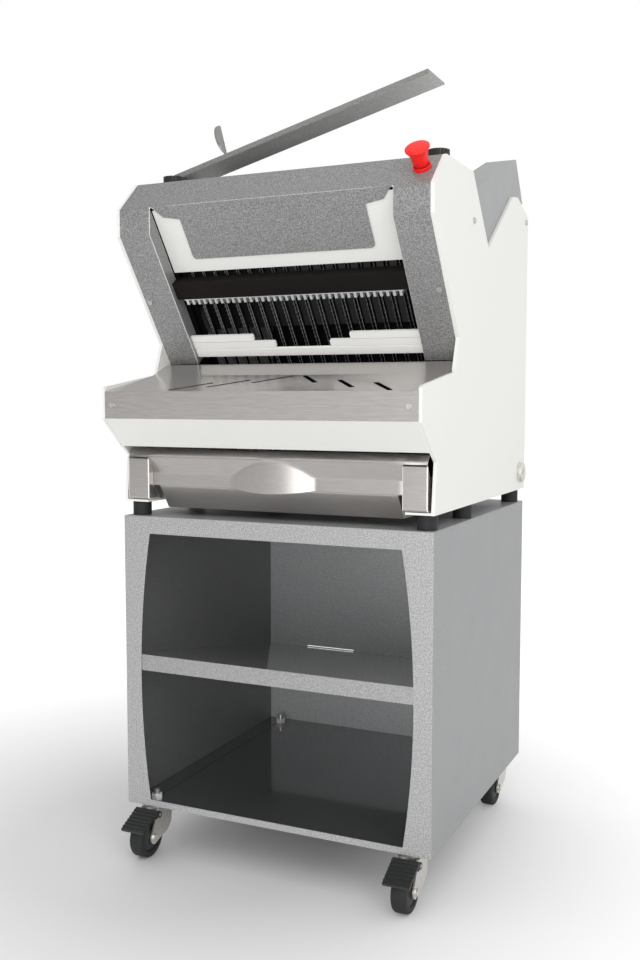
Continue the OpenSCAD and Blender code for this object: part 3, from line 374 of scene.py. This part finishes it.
def metals(c):
    """Bare, plated and blackened metal."""
    along = (0.06, 1, 1)
    ground = {"Metallic": 0.9, "Roughness": 0.3}
    return {
        # Ground stainless sheet: streaks along the sheet that spread its reflections
        "stainless": finish(
            "ground_stainless", c.stainless, size=1.5 * MM, spread=0.05, bump=0.006 * MM, shader=ground,
            stretch=along,
        ),
        # The drawer's front is paler on the slope at its top, the faces that look up: painted light on the
        # brow
        "front": finish(
            "stainless_painted_light_brow", c.stainless, size=1.5 * MM, spread=0.05, bump=0.006 * MM,
            shader=ground, stretch=along, shade=("Z", 1, 1.5, 1.2),
        ),
        # The sharp folds of that sheet and the castor nuts are given a near-white colour: a painted
        # highlight
        "highlight_paint": finish(
            "highlight_painted_metal", c.highlight_paint, size=1.5 * MM, spread=0.02, bump=0.003 * MM,
            shader={"Metallic": 0.2, "Roughness": 0.3}, stretch=along,
        ),
        # Polished stainless of the tray: it mirrors the sill and posts softly, and its slots' walls, which
        # look along X, are darkened with painted shade
        "tray": finish(
            "polished_stainless_shaded_slots", c.tray, size=1.5 * MM, spread=0.06, bump=0.006 * MM,
            shader={"Metallic": 0.8, "Roughness": 0.22}, stretch=along, shade=("X", 1, 0.03, 2.5),
        ),
        # Bright zinc plate: pale and faintly cloudy
        "zinc": finish(
            "bright_zinc_plate", c.zinc, size=6 * MM, spread=0.05, bump=0.004 * MM,
            shader={"Metallic": 0.9, "Roughness": 0.34},
        ),
        # Zinc plate on screws: greyer and duller than on the castors
        "dull": finish(
            "dull_zinc_plate", c.dull, size=3 * MM, spread=0.08, bump=0.004 * MM,
            shader={"Metallic": 0.9, "Roughness": 0.5},
        ),
        # Ground machine steel: even grey with fine tool marks
        "steel": finish(
            "ground_machine_steel", c.steel, size=1.2 * MM, spread=0.06, bump=0.006 * MM,
            shader={"Metallic": 1.0, "Roughness": 0.38}, stretch=(0.2, 1, 1),
        ),
        # Blackened steel of the blade frames: dull and nearly black, so that only the teeth stand out
        "black": finish(
            "blackened_steel", c.blade, size=2 * MM, spread=0.15, bump=0.006 * MM,
            shader={"Metallic": 0.6, "Roughness": 0.6, "Specular IOR Level": 0.2},
        ),
        # Spring steel of the blades' flanks, nearly black: painted shade between the blades, so that only
        # the teeth show
        "blade": finish(
            "blade_steel_painted_shade", c.blade, size=2 * MM, spread=0.08, bump=0.003 * MM,
            shader={"Metallic": 1.0, "Roughness": 0.4},
        ),
        # Ground steel of the teeth and the comb: pale, partly the steel's own brightness and partly a
        # painted highlight on the teeth
        "edge": finish(
            "ground_steel_and_highlight", c.edge, size=2 * MM, spread=0.08, bump=0.003 * MM,
            shader={"Metallic": 0.6, "Roughness": 0.4},
        ),
    }


def mouldings(c, dimple):
    """Moulded rubber and plastic."""
    return {
        # White plastic of the outfeed strips: bright, with a soft gloss
        "strip": finish(
            "white_moulded_plastic", c.strip, size=1.6 * MM, spread=0.01, bump=0.01 * MM,
            shader={"Roughness": 0.3},
        ),
        # Moulded rubber: matt with a dusty bloom
        "rubber": finish(
            "black_moulded_rubber", c.rubber, size=1.4 * MM, spread=0.15, bump=0.03 * MM,
            shader={"Roughness": 0.68},
        ),
        # Moulded plastic: fine spark-eroded grain
        "plastic": finish(
            "black_moulded_plastic", c.plastic, size=0.9 * MM, spread=0.1, bump=0.02 * MM,
            shader={"Roughness": 0.45},
        ),
        # Brown-black plastic of the bar over the comb: matt and coarsely speckled
        "bar": finish(
            "dark_brown_plastic", c.bar, size=dimple, spread=0.3, bump=0.02 * MM,
            shader={"Roughness": 0.7, "Specular IOR Level": 0.2},
        ),
        # Glossy red ABS of the emergency stop: light spreads a little under its skin
        "red": finish(
            "signal_red_abs", c.red, size=2 * MM, spread=0.03, bump=0.004 * MM,
            shader={
                "Roughness": 0.3, "Subsurface Weight": 0.1, "Subsurface Radius": (4 * MM, 1 * MM, 1 * MM),
            },
        ),
    }


def studio_paper():
    """Matt paper of the floor: pale grey round the object, a painted shadow, and running to white further
    out.
    """
    material = bpy.data.materials.new("pale_studio_paper")
    material.use_nodes = True
    tree = material.node_tree
    paper = tree.nodes["Principled BSDF"]
    paper.inputs["Roughness"].default_value = 0.6
    paper.inputs["Specular IOR Level"].default_value = 0.1
    seen = add(tree, "ShaderNodeLightPath").outputs["Is Camera Ray"]
    tone = add(
        tree, "ShaderNodeMix", {"data_type": "RGBA", 6: rgba(WHITE, PAPER_LIT), 7: rgba(WHITE, PAPER_SEEN)},
        {0: seen},
    )
    tree.links.new(tone.outputs[2], paper.inputs["Base Color"])
    place = add(tree, "ShaderNodeTexCoord").outputs["Object"]
    spot = add(tree, "ShaderNodeMapping", {"Location": PAPER_SHADOW_SHIFT}, {"Vector": place})
    away = add(tree, "ShaderNodeVectorMath", {"operation": "LENGTH"}, {0: spot.outputs["Vector"]})
    # The glow to white grows away from the object, so the grey round it is a painted shadow
    fade = add(
        tree, "ShaderNodeMapRange",
        {"From Min": PAPER_SHADOW_FADE[0], "From Max": PAPER_SHADOW_FADE[1], "To Min": 0.0, "To Max": PAPER_GLOW},
        {"Value": away.outputs["Value"]},
    )
    shown = add(tree, "ShaderNodeMath", {"operation": "MULTIPLY"}, {0: seen, 1: fade.outputs["Result"]})
    glow = add(tree, "ShaderNodeEmission", {"Color": rgba(WHITE)}, {"Strength": shown.outputs["Value"]})
    both = add(tree, "ShaderNodeAddShader", links={0: paper.outputs["BSDF"], 1: glow.outputs["Emission"]})
    tree.links.new(both.outputs["Shader"], tree.nodes["Material Output"].inputs["Surface"])
    return material


MATERIALS = {}


def dress(names, material, edge, clamp=True, rim=None, angle=FOLD_ANGLE):
    """Gives solids their finish and rounds their edges, without touching their meshes.

    With clamp, a solid's smallest edge limits the rounding of all its edges. rim is a paler finish of the
    roundings, a painted highlight along them, and angle the gentlest fold that is rounded, in degrees.
    """
    for name in names:
        solid = NODES[name]
        solid.data.materials.clear()
        solid.data.materials.append(MATERIALS[material])
        weld = solid.modifiers.new("Weld", "WELD")
        weld.merge_threshold = SAME_POINT
        bevel = solid.modifiers.new("Rounded edges", "BEVEL")
        bevel.width = edge
        bevel.segments = 2
        bevel.limit_method = "ANGLE"
        bevel.angle_limit = math.radians(angle)
        bevel.use_clamp_overlap = clamp
        if rim:
            solid.data.materials.append(MATERIALS[rim])
            bevel.material = 1
        corners = solid.modifiers.new("Merged corners", "WELD")
        corners.merge_threshold = SAME_POINT
        split = solid.modifiers.new("Sharp edges", "EDGE_SPLIT")
        split.split_angle = math.radians(CREASE_ANGLE)
        normals = solid.modifiers.new("Even shading", "WEIGHTED_NORMAL")
        normals.weight = FLAT_FACE_WEIGHT


# Made pieces

def piece(name, vertices, faces, material, body, smooth_angle=40, closed=True):
    """A new mesh that rides on a body. The faces of a closed one are turned outwards."""
    mesh = bpy.data.meshes.new(name)
    mesh.from_pydata([tuple(v) for v in vertices], [], faces)
    mesh.validate()
    if closed:
        turned = bmesh.new()
        turned.from_mesh(mesh)
        bmesh.ops.recalc_face_normals(turned, faces=turned.faces)
        turned.to_mesh(mesh)
        turned.free()
    mesh.update()
    mesh.shade_smooth()
    mesh.set_sharp_from_angle(angle=math.radians(smooth_angle))
    made = bpy.data.objects.new(name, mesh)
    bpy.context.scene.collection.objects.link(made)
    made.data.materials.append(MATERIALS[material])
    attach(made, body)
    return made


def lathe(profile, place, steps=64):
    """Vertices and faces of a profile, as (radius, height), turned about the Z axis of the matrix place.

    A profile that doesn't start and end on the axis is closed from its last point to its first one.
    """
    vertices, rings = [], []
    for radius, height in profile:
        ring_steps = steps if radius else 1
        rings.append(list(range(len(vertices), len(vertices) + ring_steps)))
        for i in range(ring_steps):
            turn = 2 * math.pi * i / steps
            vertices.append(place @ Vector((radius * math.cos(turn), radius * math.sin(turn), height)))
    pairs = list(zip(rings, rings[1:]))
    if len(rings[0]) > 1 or len(rings[-1]) > 1:
        pairs.append((rings[-1], rings[0]))
    faces = []
    for a, b in pairs:
        for i in range(steps):
            j = (i + 1) % steps
            if len(a) == 1:
                faces.append((a[0], b[j], b[i]))
            elif len(b) == 1:
                faces.append((a[i], a[j], b[0]))
            else:
                faces.append((a[i], a[j], b[j], b[i]))
    return vertices, faces


def arc(centre, radius, start, end, steps):
    """Points of an arc in a profile, angles in degrees."""
    turns = [math.radians(start + (end - start) * i / steps) for i in range(steps + 1)]
    return [(centre[0] + radius * math.cos(turn), centre[1] + radius * math.sin(turn)) for turn in turns]


def corners_of(name):
    """Lowest and highest corner of a solid."""
    low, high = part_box(name)
    return Vector(low), Vector(high)


def middle(name):
    """Middle of a solid's box."""
    low, high = corners_of(name)
    return (low + high) / 2


def turned_to(axis, origin):
    """Matrix whose Z axis lies along axis, at origin."""
    turn = Vector((0, 0, 1)).rotation_difference(Vector(axis)).to_matrix().to_4x4()
    return Matrix.Translation(origin) @ turn


class SLICER_OT_stand(bpy.types.Operator):
    """Finishes the stand's panels, frame, shelf and floor"""
    bl_idname = "slicer.stand"
    bl_label = "Stand"

    def execute(self, context):
        _, s = settings()
        dress(["stand_front_frame"], "frame", s.rim_edge, clamp=False)
        dress(["stand_top"], "top", s.sheet_edge)
        dress(["stand_left_side"], "left", s.sheet_edge)
        dress(["stand_right_side"], "right", s.sheet_edge)
        dress(["stand_back"], "back", s.sheet_edge)
        dress(["stand_shelf"], "shelf", s.sheet_edge)
        dress(["stand_bottom"], "gloss", s.sheet_edge)
        return {"FINISHED"}


class SLICER_OT_castors(bpy.types.Operator):
    """Finishes the castors and makes their wheels"""
    bl_idname = "slicer.castors"
    bl_label = "Castors"

    def execute(self, context):
        _, s = settings()
        dress(["castor_heads"], "zinc", s.sheet_edge)
        # The nuts' near-white colour is a painted highlight
        dress(["castor_nuts"], "highlight_paint", s.sheet_edge)
        dress(["castor_fork_" + corner for corner in CORNERS], "zinc", s.sheet_edge)
        dress(["brake_pedal_left", "brake_pedal_right"], "plastic", s.sheet_edge)
        for corner in CORNERS:
            self.wheel(corner, s)
        return {"FINISHED"}

    @staticmethod
    def wheel(corner, s):
        """A tyre with round shoulders on a dished hub, in place of the plain wheel."""
        node = "castor_wheel_" + corner
        low, high = corners_of(node)
        centre = middle(node)
        radius, half = (high.z - low.z) / 2, (high.x - low.x) / 2
        shoulder = s.tyre_shoulder
        side = [
            (s.axle_radius, half),
            (s.boss_radius, half),
            (s.boss_radius + s.hub_step, half - s.dish_depth / 2),
            (s.hub_radius, half - s.dish_depth),
            (s.hub_radius + s.hub_step, half - s.hub_step / 2),
            (s.hub_radius + s.hub_step * 3, half),
        ]
        side += arc((radius - shoulder, half - shoulder), shoulder, 90, 12, 6)
        profile = side + [(radius, 0)] + [(r, -h) for r, h in reversed(side)]
        vertices, faces = lathe(profile, turned_to((1, 0, 0), centre))
        made = piece(
            "tyre_" + corner, vertices, faces, "rubber", "wheel_" + corner, smooth_angle=35
        )
        made.data.materials.append(MATERIALS["plastic"])
        for face in made.data.polygons:
            arm = face.center - centre
            face.material_index = int(math.hypot(arm.y, arm.z) < s.hub_radius + s.hub_step / 2)
        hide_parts(node)


class SLICER_OT_shell(bpy.types.Operator):
    """Finishes the side panels, covers, feet and base of the machine"""
    bl_idname = "slicer.shell"
    bl_label = "Shell"

    def execute(self, context):
        _, s = settings()
        dress(["left_panel", "right_panel"], "white", s.sheet_edge / 2)
        dress(["base_plate", "inner_panel"], "white", s.sheet_edge)
        # The lower panel's roundings get the whiter strip finish: a painted highlight along its edges
        dress(["lower_panel"], "white", s.rim_edge, clamp=False, rim="strip")
        dress(["rear_panel"], "rear", s.sheet_edge)
        # The paler rim finish on the covers' roundings paints a highlight along their folds
        dress(["top_deck"], "hammered", s.rim_edge, clamp=False, rim="rim")
        dress(["front_cover"], "hammered", s.rim_edge, clamp=False, rim="rim", angle=COVER_FOLD_ANGLE)
        dress(["rubber_feet"], "rubber", s.fold_edge)
        return {"FINISHED"}


class SLICER_OT_outfeed(bpy.types.Operator):
    """Finishes the sill, the strips, the comb and the tray"""
    bl_idname = "slicer.outfeed"
    bl_label = "Outfeed"

    def execute(self, context):
        _, s = settings()
        dress(["outfeed_sill", "outfeed_steps"], "strip", s.fold_edge)
        dress(["comb_bar"], "bar", s.fold_edge)
        dress(["guide_comb"], "edge", s.sheet_edge / 2)
        dress(["reception_tray"], "tray", s.sheet_edge / 2)
        return {"FINISHED"}


class SLICER_OT_drawer(bpy.types.Operator):
    """Finishes the crumb drawer and its runners, and makes the drawer's front"""
    bl_idname = "slicer.drawer"
    bl_label = "Crumb drawer"

    def execute(self, context):
        _, s = settings()
        dress(["crumb_drawer"], "stainless", s.sheet_edge)
        dress(["drawer_runners"], "zinc", s.sheet_edge)
        self.skin(s)
        self.cheeks(s)
        return {"FINISHED"}

    @staticmethod
    def skin(s):
        """The pressed sheet of the front, whose pull swells softly out of its folds."""
        low, high = corners_of("drawer_front")
        top, face, end = high.z, low.y + s.pull_depth, high.x - s.end_gap
        brow, waist = top - s.brow_drop, top - s.waist_drop
        half = s.pull_width / 2
        bow = (half ** 2 + s.pull_depth ** 2) / (2 * s.pull_depth)
        dip = (half ** 2 + s.pull_dip ** 2) / (2 * s.pull_dip)
        pressed = half * PRESS_REACH
        outer = [end * share for share in OUTER_COLUMNS]
        columns = [-x for x in reversed(outer)]
        columns += [pressed * i / PRESS_COLUMNS for i in range(-PRESS_COLUMNS, PRESS_COLUMNS + 1)]
        columns += outer
        vertices = []
        for x in columns:
            reach = min(abs(x), pressed)
            swell = math.sqrt(bow ** 2 - reach ** 2) - bow + s.pull_depth
            lip = max(0, math.sqrt(dip ** 2 - reach ** 2) - dip + s.pull_dip)
            foot = top - s.face_drop - lip
            for k in range(FACE_ROWS + 1):
                z = foot + (brow - foot) * k / FACE_ROWS
                out = s.brow_out * max(0, (z - waist) / (brow - waist))
                # The further one of the fold and the swell, blended where they are about as far
                part = min(1, max(0, 0.5 + 0.5 * (swell - out) / s.press_blend))
                out += (swell - out) * part + s.press_blend * part * (1 - part) / 2
                vertices.append((x, face - out, z))
            for share in BROW_SHARES:
                out = s.brow_out * (1 - share ** BROW_CURVE)
                vertices.append((x, face - out, brow + s.brow_drop * share))
            vertices.append((x, face + s.flange_start, top))
            vertices.append((x, face + s.flange_end, top))
        tall = len(vertices) // len(columns)
        faces = [
            (i * tall + k, (i + 1) * tall + k, (i + 1) * tall + k + 1, i * tall + k + 1)
            for i in range(len(columns) - 1) for k in range(tall - 1)
        ]
        made = piece(
            "pressed_drawer_front", vertices, faces, "front", "drawer", smooth_angle=30,
            closed=False,
        )
        sheet = made.modifiers.new("Sheet", "SOLIDIFY")
        sheet.thickness = s.drawer_sheet
        sheet.offset = -1
        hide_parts("drawer_front")

    @staticmethod
    def cheeks(s):
        """The two boxed ends of the front, whose rounded folds on their sides carry a painted highlight."""
        low, high = corners_of("drawer_front")
        face, soft = low.y + s.pull_depth, s.cheek_corner
        brow, waist, lip = high.z - s.brow_drop, high.z - s.waist_drop, high.z - s.face_drop
        outline = [(face - s.brow_out, brow), (low.y, brow - soft)]
        outline += arc((low.y + soft, low.z + soft), soft, 180, 270, 4)
        outline += [(low.y + s.cheek_depth, low.z), (face, lip), (face, waist)]
        points = len(outline)
        vertices, faces = [], []
        for x in (low.x, high.x - s.cheek_width):
            left = len(vertices)
            right = left + points
            for end in (x, x + s.cheek_width):
                vertices += [(end, y, z) for y, z in outline]
            faces += [tuple(range(left, right)), tuple(range(right + points - 1, right - 1, -1))]
            for i in range(points):
                j = (i + 1) % points
                faces.append((left + i, right + i, right + j, left + j))
        made = piece("drawer_cheeks", vertices, faces, "stainless", "drawer", smooth_angle=30)
        # The roundings of the side folds get the near-white finish, a painted highlight
        made.data.materials.append(MATERIALS["highlight_paint"])
        sharp = made.data.attributes.new("bevel_weight_edge", "FLOAT", "EDGE")
        for edge in made.data.edges:
            a, b = (made.data.vertices[i].co for i in edge.vertices)
            sharp.data[edge.index].value = float(abs(a.x - b.x) < s.cheek_width / 2)
        fold = made.modifiers.new("Rounded folds", "BEVEL")
        fold.width = s.cheek_fold
        fold.segments = 3
        fold.limit_method = "WEIGHT"
        fold.material = 1
        made.modifiers.new("Even shading", "WEIGHTED_NORMAL")


class SLICER_OT_loading(bpy.types.Operator):
    """Finishes the loading chute and the hood"""
    bl_idname = "slicer.loading"
    bl_label = "Loading chute"

    def execute(self, context):
        _, s = settings()
        dress(["loading_chute"], "chute", s.sheet_edge)
        dress(["loading_hood"], "smooth", s.sheet_edge)
        return {"FINISHED"}


class SLICER_OT_blades(bpy.types.Operator):
    """Finishes the blade frames and makes the scalloped blades"""
    bl_idname = "slicer.blades"
    bl_label = "Blades"

    def execute(self, context):
        _, s = settings()
        dress(["guide_rails"], "steel", s.sheet_edge)
        dress(["front_blade_frame", "rear_blade_frame"], "black", s.sheet_edge)
        self.row("front_blades", s.front_blade_count, "front_frame", s.row_inset, s)
        self.row("rear_blades", s.rear_blade_count, "rear_frame", -s.row_inset, s)
        return {"FINISHED"}

    @staticmethod
    def row(node, blades, body, inset, s):
        """One row of blades with a scalloped front edge, in place of its plain solids.

        The row is moved back by inset, towards the other row, so that more of both shows from the front.
        """
        low, high = corners_of(node)
        up = Vector(JOINTS["front_frame_stroke"]["axis"])
        sine, cosine = -up.y, up.z
        back = Vector((0, cosine, sine))
        # A leaning blade's box is width * cosine + tall * sine deep and width * sine + tall * cosine high
        depth, rise = high.y - low.y, high.z - low.z
        width = (depth * cosine - rise * sine) / (cosine * cosine - sine * sine)
        tall = (rise - width * sine) / cosine
        foot = Vector((0, low.y + tall * sine, low.z)) + back * inset
        teeth = round(tall / s.tooth_pitch)
        front = [
            ((tooth + share) / teeth * tall, bite * s.tooth_depth)
            for tooth in range(teeth) for share, bite in SCALLOP
        ]
        front.append((tall, 0))
        land = s.tooth_depth + s.ground_width
        tips = [foot + up * v + back * w for v, w in front]
        flank = [foot + up * v + back * land for v, _ in front]
        flank += [foot + up * tall + back * width, foot + back * width]
        points = len(front)
        head, heel = 2 * points, 2 * points + 1
        vertices, faces, ground = [], [], []
        for k in range(blades):
            x = low.x + s.blade_thickness / 2 + k * (high.x - low.x - s.blade_thickness) / (blades - 1)
            left = len(vertices)
            right = left + heel + 1
            for side in (-s.blade_thickness / 2, s.blade_thickness / 2):
                vertices += [p + Vector((x + side * EDGE_SHARE, 0, 0)) for p in tips]
                vertices += [p + Vector((x + side, 0, 0)) for p in flank]
            for i in range(points - 1):
                ground += range(len(faces), len(faces) + 3)
                faces.append((left + i, left + i + 1, right + i + 1, right + i))
                for start in (left, right):
                    faces.append((start + i, start + i + 1, start + points + i + 1, start + points + i))
            faces += [tuple(range(start + points, start + heel + 1)) for start in (left, right)]
            faces.append((left + head, left + heel, right + heel, right + head))
            above = (points - 1, head - 1, head)
            faces.append(tuple(left + i for i in above) + tuple(right + i for i in reversed(above)))
            below = (0, points, heel)
            faces.append(tuple(left + i for i in below) + tuple(right + i for i in reversed(below)))
        made = piece("scalloped_" + node, vertices, faces, "blade", body)
        made.data.materials.append(MATERIALS["edge"])
        for i in ground:
            made.data.polygons[i].material_index = 1
        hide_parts(node)


class SLICER_OT_drive(bpy.types.Operator):
    """Finishes the crank, rods, pulleys, belt and motor"""
    bl_idname = "slicer.drive"
    bl_label = "Drive"

    def execute(self, context):
        _, s = settings()
        dress(["crank_bearings", "crankshaft", "front_rod", "rear_rod"], "steel", s.sheet_edge)
        dress(["crank_pulley", "motor_pulley"], "steel", s.sheet_edge)
        dress(["motor"], "motor", s.fold_edge)
        dress(["drive_belt"], "rubber", s.sheet_edge)
        return {"FINISHED"}


class SLICER_OT_arm(bpy.types.Operator):
    """Finishes the loaf arm, its bracket and its pin"""
    bl_idname = "slicer.arm"
    bl_label = "Loaf arm"

    def execute(self, context):
        _, s = settings()
        dress(["loaf_arm"], "arm", s.sheet_edge)
        dress(["arm_bracket"], "zinc", s.sheet_edge, clamp=False)
        dress(["arm_pin"], "zinc", s.sheet_edge)
        return {"FINISHED"}


class SLICER_OT_controls(bpy.types.Operator):
    """Finishes the knobs and makes the emergency stop's mushroom head"""
    bl_idname = "slicer.controls"
    bl_label = "Controls"

    def execute(self, context):
        _, s = settings()
        dress(["knob_left", "knob_right"], "plastic", s.sheet_edge)
        dress(["estop_collar"], "red", s.sheet_edge)
        self.mushroom(s)
        return {"FINISHED"}

    @staticmethod
    def mushroom(s):
        """The emergency stop's body, flaring to a rim with a low crown."""
        out = -Vector(JOINTS["estop_press"]["axis"])
        place = turned_to(out, middle("estop_collar"))
        rim, top, lip = s.stop_rim, s.stop_height, s.stop_lip
        profile = [(0, STOP_BODY[0][1] * MM)]
        profile += [(s.stop_stem + wider * MM, height * MM) for wider, height in STOP_BODY]
        profile += [(rim + wider * MM, height * MM) for wider, height in STOP_FLARE]
        profile += arc((rim - lip, top - lip), lip, -30, 80, 6)
        profile += [(rim * share, top + height * MM) for share, height in STOP_CROWN]
        vertices, faces = lathe(profile, place)
        made = piece(
            "estop_mushroom", vertices, faces, "red", "estop_button", smooth_angle=50
        )
        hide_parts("estop_button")


class SLICER_OT_fasteners(bpy.types.Operator):
    """Finishes the screws and the cable gland"""
    bl_idname = "slicer.fasteners"
    bl_label = "Fasteners"

    def execute(self, context):
        _, s = settings()
        dress(["panel_screws"], "dull", s.fold_edge)
        dress(["cable_gland"], "zinc", s.fold_edge)
        return {"FINISHED"}


class SLICER_OT_stage(bpy.types.Operator):
    """Makes the floor, the lamps, the pale world and the camera"""
    bl_idname = "slicer.stage"
    bl_label = "Stage"

    def execute(self, context):
        _, s = settings()
        self.floor(s.floor_size / 2)
        self.world()
        self.lamp("key_softbox", place=(2.2, -2.8, 2.4), target=(0, 0, 0.7), size=3.0, power=38)
        self.lamp("low_softbox", place=(0.55, -2.9, 0.3), target=(0, 0, 0.9), size=1.4, power=15)
        self.camera()
        context.scene.view_settings.view_transform = "Standard"
        return {"FINISHED"}

    @staticmethod
    def floor(half):
        """A wide pale floor that keeps the object's shadow."""
        mesh = bpy.data.meshes.new("studio_floor")
        corners = [(-half, -half, 0), (half, -half, 0), (half, half, 0), (-half, half, 0)]
        mesh.from_pydata(corners, [], [(0, 1, 2, 3)])
        mesh.materials.append(studio_paper())
        ground = bpy.data.objects.new("studio_floor", mesh)
        bpy.context.scene.collection.objects.link(ground)

    @staticmethod
    def world():
        """A plain pale world, white to the camera."""
        world = bpy.data.worlds.new("pale_studio")
        bpy.context.scene.world = world
        world.use_nodes = True
        tree = world.node_tree
        ray = add(tree, "ShaderNodeLightPath").outputs
        shown = add(
            tree, "ShaderNodeMath", {"operation": "MAXIMUM"},
            {0: ray["Is Camera Ray"], 1: ray["Is Transmission Ray"]},
        )
        lift = add(
            tree, "ShaderNodeMath", {"operation": "MULTIPLY_ADD", 1: 1 - WORLD_LIGHT, 2: WORLD_LIGHT},
            {0: shown.outputs["Value"]},
        )
        # Reflections are white but darken to the left, as at a studio's flag, so that metal shows its form
        around = add(tree, "ShaderNodeTexCoord").outputs["Generated"]
        way = add(tree, "ShaderNodeSeparateXYZ", links={"Vector": around})
        ramp = add(
            tree, "ShaderNodeMapRange",
            {"From Min": FLAG_SPAN[0], "From Max": FLAG_SPAN[1], "To Min": FLAG_LIGHT, "To Max": 1.0},
            {"Value": way.outputs["X"]},
        )
        level = add(
            tree, "ShaderNodeMix", {},
            {"Factor": ray["Is Glossy Ray"], "A": lift.outputs["Value"], "B": ramp.outputs["Result"]},
        )
        background = tree.nodes["Background"]
        background.inputs["Color"].default_value = rgba(WHITE)
        tree.links.new(level.outputs["Result"], background.inputs["Strength"])

    @staticmethod
    def lamp(name, place, target, size, power):
        """A square softbox that looks at a point, in metres and watts."""
        light = bpy.data.lights.new(name, "AREA")
        light.size = size
        light.energy = power
        made = bpy.data.objects.new(name, light)
        made.location = place
        made.rotation_euler = (Vector(target) - Vector(place)).to_track_quat("-Z", "Y").to_euler()
        bpy.context.scene.collection.objects.link(made)

    @staticmethod
    def camera():
        """The photograph's view, solved from the stand's edges."""
        camera = bpy.data.cameras.new("photo_view")
        camera.sensor_fit = "VERTICAL"
        camera.sensor_height = 36
        camera.lens = 39.34
        camera.clip_end = 100
        made = bpy.data.objects.new("photo_view", camera)
        made.location = (0.83766, -1.88556, 0.85471)
        made.rotation_euler = (math.radians(85.49), 0, math.radians(24.86))
        bpy.context.scene.collection.objects.link(made)
        bpy.context.scene.camera = made


OPERATORS = (
    SLICER_OT_stage, SLICER_OT_stand, SLICER_OT_castors, SLICER_OT_shell, SLICER_OT_outfeed,
    SLICER_OT_drawer, SLICER_OT_loading, SLICER_OT_blades, SLICER_OT_drive, SLICER_OT_arm,
    SLICER_OT_controls, SLICER_OT_fasteners,
)


class SLICER_PT_panel(bpy.types.Panel):
    """Lists the slicer's settings and operators"""
    bl_idname = "SLICER_PT_panel"
    bl_label = "Bread slicer"
    bl_space_type = "VIEW_3D"
    bl_region_type = "UI"
    bl_category = "Slicer"

    def draw(self, context):
        for group in (context.scene.slicer_colours, context.scene.slicer_sizes):
            box = self.layout.box()
            for key in group.__annotations__:
                box.prop(group, key)
        for operator in OPERATORS:
            self.layout.operator(operator.bl_idname)


CLASSES = (SlicerColours, SlicerSizes, *OPERATORS, SLICER_PT_panel)


def register():
    """Registers the classes and the scene's settings."""
    for item in CLASSES:
        bpy.utils.register_class(item)
    bpy.types.Scene.slicer_colours = PointerProperty(type=SlicerColours)
    bpy.types.Scene.slicer_sizes = PointerProperty(type=SlicerSizes)


def unregister():
    """Removes what register added."""
    del bpy.types.Scene.slicer_sizes
    del bpy.types.Scene.slicer_colours
    for item in reversed(CLASSES):
        bpy.utils.unregister_class(item)


def main():
    """Builds the dressed slicer."""
    register()
    colours, sizes = settings()
    MATERIALS.update(enamels(colours, sizes.dimple))
    MATERIALS.update(metals(colours))
    MATERIALS.update(mouldings(colours, sizes.dimple))
    for operator in OPERATORS:
        group, name = operator.bl_idname.split(".")
        getattr(getattr(bpy.ops, group), name)()
    bpy.context.view_layer.update()


if __name__ == "__main__":
    main()
